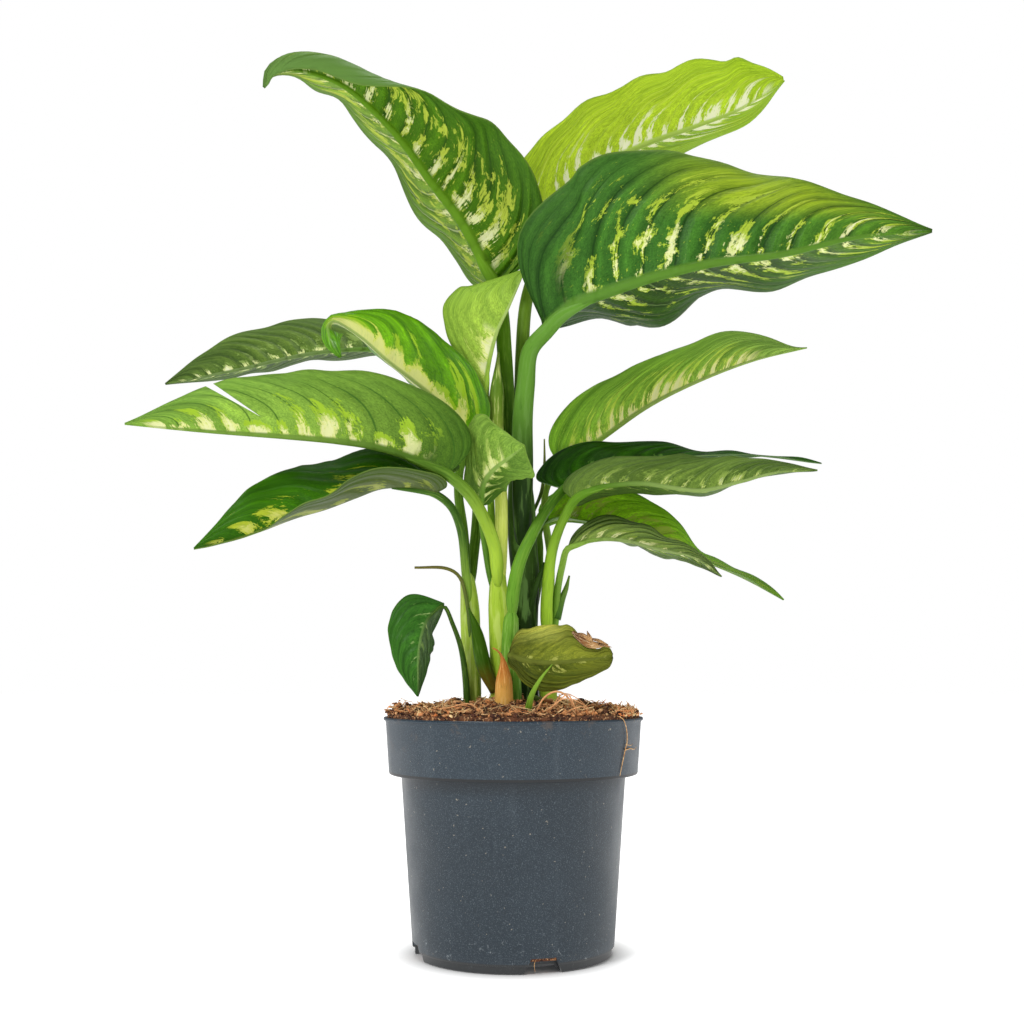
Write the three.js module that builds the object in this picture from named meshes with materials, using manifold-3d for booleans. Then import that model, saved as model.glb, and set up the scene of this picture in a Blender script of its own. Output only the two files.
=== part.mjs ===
// A dieffenbachia with several shoots, in a round nursery pot.
// Millimetres, +Z up. The origin is the middle of the pot's flat bottom.
// The plant is seen from the front when looking along +Y, with +X to the right.
import * as THREE from "three";
import { mergeVertices } from "three/addons/utils/BufferGeometryUtils.js";
import Module from "manifold-3d";

const wasm = await Module();
wasm.setup();

// Driving dimensions of the pot
const potHeight = 155;
const rimRadius = 85;
const lipHeight = 2;
const collarHeight = 37;
const collarBottomRadius = 81.5;
const neckRadius = 73.7;
const footRadius = 66.2;
const potWall = 1.4;
const floorThickness = 2.2;
const standHeight = 5;
const standRadius = 64.5;
const standWidth = 3;
const potSegments = 40;
const padRadius = 46;
const drainCount = 4;
const drainTurn = 16.4;
const drainWidth = 26;
const drainSlant = 5;
const drainTop = 9.7;
const drainDepth = 9;

// Driving dimensions of the soil and of what stands in it
const soilTop = 164;
const soilEdge = 157;
const lumpHeight = 2.2;
const rootedAt = 126;
const gap = 0.35;

// Leaves
const bladeThickness = 0.9;
const ribAtTip = 0.35;
const ribTaper = 0.8;
const shoulderLimit = 0.2;
const waveCount = 4;
const bladeStations = 12;
const stationSpread = 1.3;
const stalkSides = 7;
const caneSides = 12;
const rootOnRib = 0.05;

const colours = {
  pot: 0x404b54,
  soil: 0x5b3922,
  caneDark: 0x2f4f16,
  caneLight: 0x7da83c,
  leafDark: 0x3f7220,
  leafMid: 0x5c8f30,
  leafLight: 0x8db53f,
  leafOlive: 0x89883a,
  dry: 0xdc9e4c,
};

const radians = THREE.MathUtils.degToRad;

// Solids: from three.js geometry to a closed solid and back

function solidFrom(geometry) {
  geometry.deleteAttribute("normal");
  geometry.deleteAttribute("uv");
  const merged = mergeVertices(geometry, 1e-4);
  const vertProperties = new Float32Array(merged.attributes.position.array);
  const triVerts = new Uint32Array(merged.index.array);
  const solid = new wasm.Manifold(new wasm.Mesh({ numProp: 3, vertProperties, triVerts }));
  if (solid.volume() > 0) {
    return solid;
  }
  for (let i = 0; i < triVerts.length; i += 3) {
    [triVerts[i + 1], triVerts[i + 2]] = [triVerts[i + 2], triVerts[i + 1]];
  }
  return new wasm.Manifold(new wasm.Mesh({ numProp: 3, vertProperties, triVerts }));
}

function meshFrom(name, solid, color, roughness) {
  const data = solid.getMesh();
  const geometry = new THREE.BufferGeometry();
  geometry.setAttribute("position", new THREE.BufferAttribute(new Float32Array(data.vertProperties), 3));
  geometry.setIndex(new THREE.BufferAttribute(new Uint32Array(data.triVerts), 1));
  geometry.computeVertexNormals();
  const mesh = new THREE.Mesh(geometry, new THREE.MeshStandardMaterial({ color, roughness, metalness: 0 }));
  mesh.name = name;
  return mesh;
}

// A turned solid from its profile of [radius, height] pairs
function turned(profile, segments) {
  const points = profile.map(([radius, height]) => new THREE.Vector2(radius, height));
  const geometry = new THREE.LatheGeometry(points, segments);
  geometry.rotateX(Math.PI / 2);
  return geometry;
}

// A closed skin over rings of equal count. Each quad of the rings' second half is split
// the other way, so that both faces of a thin blade have the same triangles.
function loft(rings, mirrored = false) {
  const count = rings[0].length;
  const vertices = rings.flat().flatMap((p) => [p.x, p.y, p.z]);
  const index = [];
  for (let r = 0; r + 1 < rings.length; r += 1) {
    for (let k = 0; k < count; k += 1) {
      const a = r * count + k;
      const b = r * count + ((k + 1) % count);
      const c = b + count;
      const d = a + count;
      if (mirrored && k >= count / 2) {
        index.push(a, b, d, b, c, d);
      } else {
        index.push(a, b, c, a, c, d);
      }
    }
  }
  for (const [ring, flip] of [[0, false], [rings.length - 1, true]]) {
    const first = ring * count;
    for (let k = 1; k + 1 < count; k += 1) {
      const pair = [first + k + 1, first + k];
      index.push(first, ...(flip ? pair.reverse() : pair));
    }
  }
  const geometry = new THREE.BufferGeometry();
  geometry.setAttribute("position", new THREE.Float32BufferAttribute(vertices, 3));
  geometry.setIndex(index);
  return geometry;
}

const vector = ([x, y, z]) => new THREE.Vector3(x, y, z);

function curveThrough(points) {
  return new THREE.CatmullRomCurve3(points.map(vector), false, "centripetal");
}

// The value at t of a list of values spread evenly from 0 to 1
function along(values, t) {
  const place = THREE.MathUtils.clamp(t, 0, 1) * (values.length - 1);
  const k = Math.min(Math.floor(place), values.length - 2);
  return THREE.MathUtils.lerp(values[k], values[k + 1], place - k);
}

// A round stem or stalk through points, with its radius along the way
function stem(points, radii, { extra = 0, sides = stalkSides, steps = 2 * (points.length - 1) } = {}) {
  const curve = curveThrough(points);
  const rings = [];
  const side = new THREE.Vector3(1, 0, 0);
  for (let i = 0; i <= steps; i += 1) {
    const t = i / steps;
    const centre = curve.getPointAt(t);
    const tangent = curve.getTangentAt(t);
    side.addScaledVector(tangent, -side.dot(tangent)).normalize();
    const other = tangent.clone().cross(side);
    const radius = along(radii, t) + extra;
    if (i === 0 || i === steps) {
      centre.addScaledVector(tangent, i === 0 ? -extra : extra);
    }
    const ring = [];
    for (let k = 0; k < sides; k += 1) {
      const angle = (2 * Math.PI * k) / sides;
      const point = centre.clone();
      point.addScaledVector(side, radius * Math.cos(angle));
      point.addScaledVector(other, radius * Math.sin(angle));
      ring.push(point);
    }
    rings.push(ring);
  }
  return loft(rings);
}

// Half-width of a blade from its base to its tip, as a part of the widest half-width
const bladeOutline = new THREE.SplineCurve(
  [
    [0, 0.03],
    [0.03, 0.45],
    [0.09, 0.76],
    [0.18, 0.95],
    [0.28, 1],
    [0.42, 0.94],
    [0.56, 0.8],
    [0.7, 0.6],
    [0.82, 0.39],
    [0.92, 0.18],
    [1, 0.02],
  ].map(([s, w]) => new THREE.Vector2(s, w)),
);
const outlineSamples = bladeOutline.getPoints(120);

function outlineAt(s) {
  const k = Math.max(1, outlineSamples.findIndex((p) => p.x >= s - 1e-9));
  const a = outlineSamples[k - 1];
  const b = outlineSamples[k];
  return THREE.MathUtils.lerp(a.y, b.y, THREE.MathUtils.clamp((s - a.x) / (b.x - a.x), 0, 1));
}

// How far a blade's side veins run forward, from its base to its tip; less than 0 runs back
const sweepAlong = [-0.1, 0.05, 0.12, 0.2, 0.3];

// A blade on its midrib. Each half leaves the midrib at a lean, in degrees from the
// front view's plane: 0 stands straight up (upper half) or hangs straight down (lower
// half), 90 points away from the viewer and -90 towards the viewer. The bend adds to the lean
// out to the margin. Lean, bend and trim are given evenly from base to tip.
function blade(leaf) {
  const curve = curveThrough(leaf.rib);
  const stations = leaf.stations ?? bladeStations;
  const heading = Math.sign(leaf.rib.at(-1)[0] - leaf.rib[0][0]);
  const away = new THREE.Vector3(0, 1, 0);
  const grid = [];
  const ribDepths = [];
  for (let i = 0; i <= stations; i += 1) {
    const s = (i / stations) ** stationSpread;
    const centre = curve.getPointAt(s);
    const tangent = curve.getTangentAt(s);
    const back = away.clone().addScaledVector(tangent, -away.dot(tangent)).normalize();
    const up = tangent.clone().cross(back).multiplyScalar(heading);
    const rib = leaf.ribRadius * (1 - s) ** ribTaper + ribAtTip;
    ribDepths.push(rib);
    const row = [];
    for (const [half, sign] of [[leaf.lower, -1], [leaf.upper, 1]]) {
      const width = half.width * outlineAt(s) * (half.trim ? along(half.trim, s) : 1);
      const shoulder = Math.min(rib / width, shoulderLimit);
      const points = [shoulder, ...(leaf.columns ?? [0.5, 1])].map((v) => {
        const turn = radians(along(half.bend ?? [0, 0], s)) * v;
        const lean = radians(along(half.lean, s)) + turn / 2;
        const reach = width * v * (Math.abs(turn) > 1e-6 ? Math.sin(turn / 2) / (turn / 2) : 1);
        const wave = (leaf.wave ?? 0) * v * v * outlineAt(s) * Math.sin(2 * Math.PI * waveCount * s);
        const point = centre.clone();
        point.addScaledVector(up, sign * Math.cos(lean) * reach - Math.sin(lean) * wave);
        point.addScaledVector(back, Math.sin(lean) * reach + sign * Math.cos(lean) * wave);
        return point.addScaledVector(tangent, width * v * along(leaf.sweep ?? sweepAlong, s));
      });
      row.push(...(sign < 0 ? points.reverse() : points));
    }
    row.splice(row.length / 2, 0, centre);
    grid.push(row);
  }
  const columns = grid[0].length;
  const middle = (columns - 1) / 2;
  const face = leaf.shows === "upper" ? 1 : -1;
  const rings = grid.map((row, i) => {
    const before = grid[Math.max(i - 1, 0)];
    const after = grid[Math.min(i + 1, stations)];
    const top = [];
    const bottom = [];
    row.forEach((point, j) => {
      const alongRib = after[j].clone().sub(before[j]);
      const across = row[Math.min(j + 1, columns - 1)].clone().sub(row[Math.max(j - 1, 0)]);
      const normal = alongRib.cross(across).normalize().multiplyScalar(heading * face);
      const depth = j === middle ? ribDepths[i] : bladeThickness / 2;
      top.push(point.clone().addScaledVector(normal, bladeThickness / 2));
      bottom.push(point.clone().addScaledVector(normal, -depth));
    });
    return [...top, ...bottom.reverse()];
  });
  return loft(rings, true);
}

// A whole leaf: its stalk, running on under the blade as the midrib, and the blade
function leafSolid(leaf) {
  const whole = solidFrom(stem(stalkOf(leaf), leaf.radii)).add(solidFrom(blade(leaf)));
  return leaf.slit ? whole.subtract(slitCutter(leaf.slit)) : whole;
}

// The points of a leaf's stalk, which runs into the start of the midrib
function stalkOf(leaf) {
  if (leaf.stalkEnd) {
    return leaf.stalk;
  }
  return [...leaf.stalk, curveThrough(leaf.rib).getPointAt(rootOnRib).toArray()];
}

// The wedge that a torn slit takes out of the near half of a blade, from its [x, z] corners
function slitCutter({ corners, front, back }) {
  const outline = new THREE.Shape(corners.map(([x, z]) => new THREE.Vector2(x, z)));
  const wedge = new THREE.ExtrudeGeometry(outline, { depth: back - front, bevelEnabled: false });
  wedge.rotateX(Math.PI / 2);
  wedge.translate(0, back, 0);
  return solidFrom(wedge);
}

// Canes: the short upright stems, from their roots in the soil to their tops
const canes = {
  cane_main: {
    path: [[9, 8, rootedAt], [9, 8, 166], [8, 8, 206], [8, 8, 245], [6, 8, 272], [5, 8, 299], [4, 8, 322]],
    radii: [8, 8, 8, 8.5, 9.5, 9.5, 7],
    color: colours.caneDark,
  },
  cane_left: {
    path: [[-27, 0, rootedAt], [-27, 0, 165], [-28, 0, 205], [-29, 0, 232], [-31, 0, 252]],
    radii: [6, 6, 6, 6.5, 4.5],
    color: colours.caneLight,
  },
  cane_centre: {
    path: [[-9, -6, rootedAt], [-9, -6, 165], [-9, -6, 205], [-10, -6, 244], [-10, -6, 258]],
    radii: [6, 6, 6.5, 7, 5.5],
    color: colours.caneLight,
  },
  cane_front: {
    path: [[-1, -22, rootedAt], [-1, -22, 166], [-2, -22, 205], [-1, -22, 225]],
    radii: [6.5, 6.5, 6, 4.8],
    color: colours.leafMid,
  },
  cane_right: {
    path: [[23, 2, rootedAt], [23, 2, 166], [22, 2, 192], [23, 2, 215]],
    radii: [6, 6, 6, 5],
    color: colours.leafMid,
  },
};

const leaves = [
  {
    name: "leaf_top_left",
    stalk: [[-2, 6, 310], [-4, 11, 366], [-6, 12, 399], [-8, 12, 425], [-11, 10, 440]],
    radii: [5, 5, 5, 5, 4.5, 4],
    rib: [
      [-13, 10, 441], [-23, 6, 461], [-36, 2, 483], [-55, -5, 506], [-73, -15, 528],
      [-92, -25, 545], [-107, -32, 555], [-124, -38, 560],
      [-140, -42, 561], [-151, -46, 556], [-155, -47, 548],
    ],
    ribRadius: 3.6,
    upper: {
      width: 58, lean: [0, 0, 0, -10, -30], bend: [-10, -30, -100, -190, -190],
      trim: [1, 1, 1, 1, 1, 1.1, 1.3, 1.9, 3],
    },
    lower: { width: 60, lean: [80, 80, 85, 90, 90], trim: [1, 1, 1, 1, 1, 1, 0.95, 0.5, 0.4] },
    wave: 2,
    columns: [0.25, 0.5, 0.75, 1],
    color: colours.leafMid,
  },
  {
    name: "leaf_top_back",
    stalk: [[5, 14, 315], [5, 18, 367], [6, 22, 402], [9, 28, 437], [18, 32, 469]],
    radii: [4.5, 4.5, 4.5, 4, 3.5],
    rib: [
      [18, 32, 469], [28, 38, 500], [53, 44, 530], [89, 46, 549],
      [126, 42, 561], [155, 30, 568], [179, 5, 576],
    ],
    ribRadius: 2.6,
    upper: { width: 45, lean: [-10, -10, -10, -10], trim: [0.9, 0.88, 1.08, 1.65, 2.6] },
    lower: { width: 46, lean: [90, 85, 80, 80] },
    wave: 2.5,
    color: colours.leafLight,
  },
  {
    name: "leaf_top_right",
    stalk: [
      [6, 4, 262], [6, -4, 290], [6, -8, 316], [6, -8, 349],
      [8, -9, 371], [11, -12, 393], [21, -17, 404],
    ],
    radii: [5, 6.5, 7, 6.5, 5.5, 5, 4.8],
    rib: [
      [21, -17, 405], [39, -26, 418], [56, -33, 423], [82, -40, 430], [107, -46, 435], [125, -49, 438],
      [167, -54, 442], [211, -58, 451], [257, -58, 455],
    ],
    ribRadius: 3.8,
    sweep: [0.1, 0.1, 0.15, 0.2, 0.3],
    upper: { width: 82, lean: [-10, -5, 12, 5, 20], trim: [1, 1, 0.96, 0.9, 0.85, 0.75, 0.8] },
    lower: { width: 68, lean: [85, 81, 76, 88, 87, 82, 78, 76, 76] },
    wave: 2,
    stations: 16,
    color: colours.leafDark,
  },
  {
    name: "leaf_left_back",
    stalk: [
      [-29, 2, 236], [-24, 20, 300], [-28, 34, 350],
      [-39, 42, 382], [-53, 46, 399], [-71, 48, 407],
    ],
    radii: [3.5, 3.5, 3.5, 3, 2.6],
    rib: [
      [-71, 48, 407], [-102, 54, 410], [-129, 56, 409],
      [-157, 58, 405], [-191, 58, 397], [-220, 57, 391], [-244, 56, 386],
    ],
    ribRadius: 1.8,
    upper: { width: 42, lean: [50, 45, 32, 8, 0] },
    lower: { width: 36, lean: [95, 95, 95, 92, 90] },
    wave: 1.5,
    color: colours.leafDark,
  },
  {
    name: "leaf_left_curled",
    stalk: [[-30, 0, 240], [-33, 0, 278], [-36, -2, 301], [-35, -4, 318], [-30, -3, 331]],
    radii: [3.2, 3.2, 3, 2.8, 2.6],
    rib: [
      [-30, -3, 331], [-38, -3, 346], [-51, -7, 361], [-66, -12, 373], [-82, -16, 385],
      [-97, -20, 398], [-108, -25, 405], [-114, -30, 407], [-117, -35, 403],
      [-116, -39, 396], [-113, -42, 389], [-108, -43, 381],
    ],
    ribRadius: 2,
    sweep: [0.05, 0.1, 0.1, 0, -0.1],
    shows: "upper",
    upper: {
      width: 38, lean: [-25, -20, -10, 0, 0, 0, 10, 10, 0], bend: [0, 10, 20, 30, 20],
      trim: [1, 0.9, 0.87, 0.9, 0.97, 1.05, 1.08, 0.72, 0.3, 0.6, 1],
    },
    lower: {
      width: 36, lean: [95, 95, 95, 95, 95, 95, 90, 30, 0],
      trim: [1, 1, 1, 1, 1, 1, 0.6, 1, 1],
    },
    columns: [0.33, 0.67, 1],
    wave: 1.5,
    stations: 16,
    color: colours.leafMid,
  },
  {
    name: "leaf_left_long",
    stalk: [[-10, -10, 240], [-12, -20, 264], [-19, -34, 282], [-28, -42, 296], [-41, -48, 307]],
    radii: [4.5, 4.2, 4, 3.6, 3.2],
    rib: [
      [-41, -48, 307], [-63, -52, 316], [-84, -56, 322], [-107, -60, 325],
      [-136, -64, 327], [-187, -68, 330], [-235, -70, 334],
    ],
    ribRadius: 2.4,
    sweep: [-0.7, 0, 0.12, 0.2, 0.3],
    upper: { width: 46, lean: [0, -5, -5, 0, 0], bend: [20, 20, 15, 10, 0], trim: [1, 1, 1, 1.15, 1] },
    lower: { width: 42, lean: [120, 120, 120, 120] },
    wave: 1.5,
    slit: { corners: [[-199, 371], [-204, 367.5], [-153.5, 339.5]], front: -100, back: -58 },
    color: colours.leafLight,
  },
  {
    name: "leaf_left_folded",
    stalk: [[-29, -3, 225], [-31, -8, 248], [-34, -18, 276], [-40, -27, 290], [-50, -35, 297]],
    radii: [3, 2.8, 2.6, 2.5, 2.3],
    rib: [
      [-50, -35, 297], [-64, -41, 299], [-82, -46, 298], [-97, -50, 292], [-116, -55, 284],
      [-132, -58, 279], [-152, -62, 271], [-169, -64, 265], [-194, -66, 259],
    ],
    ribRadius: 1.8,
    sweep: [-0.6, 0, 0.12, 0.2, 0.3],
    upper: { width: 44, lean: [55, 42, 28, 0, -8] },
    lower: { width: 30, lean: [-108, -106, -98, -82, -80] },
    wave: 1.2,
    color: colours.leafMid,
  },
  {
    name: "leaf_small_left",
    stalk: [
      [-30, -8, 130], [-30, -8, 156], [-31, -10, 179],
      [-34, -14, 200], [-39, -20, 215], [-44, -26, 226],
    ],
    radii: [2.4, 2.4, 2.2, 1.8, 1.4, 1.2],
    rib: [[-44, -26, 228], [-54, -32, 218], [-59, -38, 201], [-60, -40, 169]],
    ribRadius: 0.8,
    shows: "upper",
    sweep: [0.35, 0.25, 0.15, 0.2, 0.3],
    upper: { width: 22, lean: [0, 0, 0, 0] },
    lower: { width: 17, lean: [60, 60, 60, 60] },
    stations: 10,
    color: colours.leafDark,
  },
  {
    name: "leaf_young_upright",
    stalk: [[-13, -2, 245], [-15, 6, 298], [-17, 4, 338], [-18, 0, 369]],
    radii: [2.6, 2.4, 2.2, 2],
    rib: [[-18, 0, 369], [-16, -5, 384], [-10, -12, 406], [-4, -14, 418], [8, -12, 446]],
    ribRadius: 1.4,
    upper: { width: 34, lean: [10, 10, 10, 10], trim: [0.4, 0.8, 1.35, 1.2, 1] },
    lower: { width: 30, lean: [110, 110, 110, 110], trim: [0.4, 0.6, 1, 1, 1] },
    stations: 10,
    color: colours.leafLight,
  },
  {
    name: "leaf_young_centre",
    stalk: [[-14, -6, 238], [-18, -12, 264], [-20, -17, 277], [-21, -20, 290]],
    radii: [2.2, 2.2, 2, 1.8],
    rib: [[-21, -20, 291], [-19, -28, 304], [-12, -38, 312], [-2, -48, 318], [7, -54, 324]],
    ribRadius: 1.4,
    sweep: [0, 0],
    upper: {
      width: 36, lean: [10, 10, 10, 10],
      trim: [0.3, 0.3, 0.35, 0.42, 0.64, 0.99, 1.34, 1.48, 1.58, 1.7, 1.2],
    },
    lower: {
      width: 24, lean: [10, 10, 10, 10],
      trim: [0.5, 0.48, 0.56, 0.6, 0.65, 0.62, 0.69, 0.94, 1.6, 3.2, 1],
    },
    stations: 10,
    color: colours.leafLight,
  },
  {
    name: "leaf_right_high",
    stalk: [[23, 4, 206], [25, 14, 259], [21, 20, 292], [23, 27, 310], [33, 32, 324]],
    radii: [2.6, 2.6, 2.4, 2.2, 2],
    sweep: [-0.25, 0.05, 0.12, 0.2, 0.3],
    rib: [[33, 32, 324], [59, 39, 343], [94, 43, 368], [128, 43, 385], [166, 41, 399], [202, 38, 407]],
    ribRadius: 1.8,
    upper: {
      width: 36, lean: [0, 0, 0, 0], bend: [10, 20, 20, 0],
      trim: [1, 1, 0.97, 0.9, 0.93, 1.08, 1.33, 1.15, 0.5],
    },
    lower: { width: 34, lean: [110, 110, 110, 110] },
    wave: 1.5,
    color: colours.leafLight,
  },
  {
    name: "leaf_right_dark",
    stalk: [[-1, -22, 218], [0, -22, 237], [4, -20, 255], [11, -16, 271], [21, -10, 289], [33, -4, 304]],
    radii: [4.4, 4.2, 3.8, 3.4, 3, 2.8],
    sweep: [-0.8, -0.1, 0.12, 0.2, 0.3],
    rib: [[33, -4, 304], [51, 4, 315], [78, 10, 323], [118, 16, 328], [159, 20, 330], [208, 22, 325]],
    ribRadius: 1.9,
    upper: {
      width: 36, lean: [30, 42, 50, 58, 65, 74, 76, 72, 60],
      trim: [1, 1, 1, 1, 1, 1, 1, 1.3, 1.6],
    },
    lower: { width: 30, lean: [-60, -70, -80, -80], trim: [0.5, 1, 1, 1, 1, 1] },
    wave: 1.5,
    color: colours.leafDark,
  },
  {
    name: "leaf_right_front",
    stalk: [[22, 0, 205], [22, -2, 233], [25, -8, 262], [30, -16, 278], [34, -20, 286], [39, -26, 294]],
    radii: [4.2, 4, 3.6, 3.2, 3, 2.6],
    rib: [
      [39, -26, 294], [50, -32, 300], [65, -38, 302], [82, -43, 302], [99, -46, 299], [117, -48, 297],
      [140, -50, 302], [164, -51, 308], [188, -52, 309],
    ],
    ribRadius: 1.8,
    sweep: [-0.8, -0.1, 0.12, 0.2, 0.3],
    upper: { width: 34, lean: [45, 50, 35, 38, 55] },
    lower: { width: 30, lean: [80, 86, 90, 92, 90] },
    wave: 0.8,
    color: colours.leafMid,
  },
  {
    name: "leaf_right_low_back",
    stalk: [[12, 10, 215], [17, 16, 245], [18, 20, 268], [18, 20, 280]],
    radii: [2.4, 2.4, 2.2, 2],
    rib: [
      [19, 20, 282], [29, 19, 286], [58, 17, 283], [92, 15, 272],
      [121, 13, 261], [153, 10, 247], [179, 6, 232],
    ],
    ribRadius: 1.5,
    shows: "upper",
    upper: {
      width: 34, lean: [30, 25, 24, 26, 36, 70, 72, 60, 55],
      trim: [1, 1, 1, 0.93, 0.85, 0.9, 1.1, 1.3, 1.6],
    },
    lower: { width: 20, lean: [-90, -90, -90, -90, -90] },
    wave: 1.2,
    color: colours.leafMid,
  },
  {
    name: "leaf_right_low_front",
    stalk: [[27, 3, 205], [29, 2, 237], [32, -6, 254], [35, -14, 264]],
    radii: [2.6, 2.4, 2.2, 2],
    rib: [
      [35, -14, 264], [47, -20, 268], [59, -26, 269], [73, -32, 267], [86, -36, 263],
      [97, -40, 260], [110, -42, 257], [118, -43, 253], [130, -44, 244],
    ],
    ribRadius: 1.5,
    upper: { width: 26, lean: [50, 50, 60, 60] },
    lower: { width: 22, lean: [95, 95, 86, 76, 70] },
    wave: 1.2,
    color: colours.leafMid,
  },
  {
    name: "leaf_damaged_front",
    stalk: [[8, -56, 130], [8.5, -58, 155], [11, -64, 170], [17, -67, 181], [24, -64, 189.5]],
    stalkEnd: true,
    radii: [2, 2, 2, 1.6],
    rib: [[-3, -50, 195], [10, -60, 191], [23, -64, 190], [44, -62, 192], [61, -56, 194]],
    ribRadius: 1.2,
    sweep: [-0.3, 0.05, 0.12, 0.2, 0.3],
    upper: { width: 24, lean: [10, 10, 10, 10], trim: [2.2, 1, 1, 1.1, 1.05, 1.22, 0.75, 1.2, 3] },
    lower: { width: 20, lean: [10, 10, 10, 10], trim: [0.6, 0.5, 0.8, 0.93, 0.95, 0.97, 1.1, 1.5, 3] },
    stations: 12,
    color: colours.leafOlive,
  },
];

// Sheaths, spikes and stalks without a blade
const sprigs = [
  {
    name: "stalk_wilted",
    path: [[-28, -4, 199], [-30, -8, 228], [-35, -12, 246], [-43, -18, 251], [-63, -26, 251]],
    radii: [1.4, 1.3, 1.2, 1.1, 0.8],
    color: colours.leafDark,
  },
  {
    name: "sheath_pale",
    path: [[-9, -6, 245], [-8, -8, 264], [-8, -8, 296], [-11, -4, 336], [-11, -2, 363], [-10, 0, 395]],
    radii: [4, 4.2, 4.2, 5, 5, 0.6],
    color: colours.caneLight,
  },
  {
    name: "sheath_dry",
    path: [
      [-6, -36, 150], [-6, -36, 168], [-6, -36, 182], [-6.2, -36, 189],
      [-7, -36, 193], [-9, -37, 197], [-13, -39, 199.5],
    ],
    radii: [6.2, 6.2, 6, 5.6, 5, 2.8, 0.8, 0.5],
    color: colours.dry,
  },
  {
    name: "sheath_spent",
    path: [[-12, -9, 172], [-19, -14, 188], [-24, -14, 211], [-29, -12, 226]],
    radii: [3.5, 5, 4, 0.6],
    color: colours.caneLight,
  },
  {
    name: "spike_young",
    path: [[12, 10, 288], [19, 20, 306], [21, 24, 324], [21, 24, 342]],
    radii: [1.2, 1.2, 1, 0.5],
    color: colours.leafDark,
  },
  {
    name: "shoot_tip_right",
    path: [[29, 2, 219], [32, 4, 232], [35, 4, 240], [37, 3, 248]],
    radii: [2.4, 2.4, 1.8, 0.6],
    color: colours.leafMid,
  },
  {
    name: "sheath_dark",
    path: [[11, 3, 222], [14, -2, 238], [21, -3, 256]],
    radii: [2, 2.2, 1.4],
    color: colours.caneDark,
  },
  {
    name: "shoot_bud_soil",
    path: [[18, -22, 150], [18, -24, 164], [11, -28, 170]],
    radii: [4, 3.5, 1],
    color: colours.leafDark,
  },
];

// Pot: a thin shell with a stepped collar, standing on a ring that the drain notches cut

function potSolid() {
  const collarBottom = potHeight - collarHeight;
  const innerLedge = collarBottom + potWall;
  const floorTop = standHeight + floorThickness;
  const shell = turned(
    [
      [0, 0],
      [padRadius, 0],
      [padRadius + 4, standHeight],
      [standRadius - standWidth - 1, standHeight],
      [standRadius - standWidth, 0],
      [standRadius, 0],
      [standRadius, standHeight],
      [footRadius - 0.6, standHeight],
      [footRadius, standHeight + 1.5],
      [neckRadius, collarBottom],
      [collarBottomRadius, collarBottom],
      [rimRadius - 1.2, potHeight - lipHeight],
      [rimRadius, potHeight - lipHeight + 0.5],
      [rimRadius, potHeight - 0.5],
      [rimRadius - 0.5, potHeight],
      [rimRadius - 0.6 - potWall, potHeight],
      [collarBottomRadius - potWall, innerLedge],
      [neckRadius - potWall, innerLedge],
      [footRadius - potWall, floorTop],
      [0, floorTop],
    ],
    potSegments,
  );
  let pot = solidFrom(shell);
  for (let k = 0; k < drainCount; k += 1) {
    const notch = new THREE.Shape();
    notch.moveTo(-drainWidth / 2, -1);
    notch.lineTo(drainWidth / 2, -1);
    notch.lineTo(drainWidth / 2 - drainSlant, drainTop);
    notch.lineTo(-drainWidth / 2 + drainSlant, drainTop);
    notch.closePath();
    const cutter = new THREE.ExtrudeGeometry(notch, { depth: drainDepth, bevelEnabled: false });
    cutter.rotateX(Math.PI / 2);
    cutter.translate(0, drainDepth - footRadius - 3, 0);
    cutter.rotateZ(radians(drainTurn + (360 / drainCount) * k));
    pot = pot.subtract(solidFrom(cutter));
  }
  return pot;
}

// Soil: fills the pot and is heaped in uneven lumps above the rim

function soilHeight(x, y) {
  const r = Math.hypot(x, y) / (rimRadius - 2);
  const dome = THREE.MathUtils.lerp(soilTop, soilEdge, r * r);
  const lumps = Math.sin(x * 0.21 + 1) * Math.cos(y * 0.17) + 0.6 * Math.sin(x * 0.47 + y * 0.39);
  return dome + lumpHeight * lumps * (1 - r ** 4);
}

function soilSolid(stems) {
  const innerLedge = potHeight - collarHeight + potWall;
  const rings = 6;
  const outer = rimRadius - 0.6 - potWall - gap;
  const profile = [
    [0, standHeight + floorThickness + gap],
    [footRadius - potWall - gap, standHeight + floorThickness + gap],
    [neckRadius - potWall - gap, innerLedge + gap],
    [collarBottomRadius - potWall - gap, innerLedge + gap],
    [outer - 0.4, potHeight - 4],
  ];
  const walls = profile.length;
  for (let k = rings; k >= 0; k -= 1) {
    profile.push([(outer - 0.6) * (k / rings), soilTop]);
  }
  const geometry = turned(profile, potSegments);
  const position = geometry.attributes.position;
  for (let i = 0; i < position.count; i += 1) {
    if (i % profile.length >= walls) {
      position.setZ(i, soilHeight(position.getX(i), position.getY(i)));
    }
  }
  return stems.reduce((soil, cut) => soil.subtract(cut), solidFrom(geometry));
}

// Assembly

const plant = new THREE.Group();
const clearances = [];

// Adds a piece, clear of the stems that are there already, and keeps its stem's clearance
function grow(name, solid, clearance, color) {
  const fitted = clearances.reduce((rest, taken) => rest.subtract(taken), solid);
  const largest = fitted.decompose().sort((a, b) => b.volume() - a.volume())[0];
  clearances.push(clearance);
  plant.add(meshFrom(name, largest, color, 0.5));
}

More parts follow.
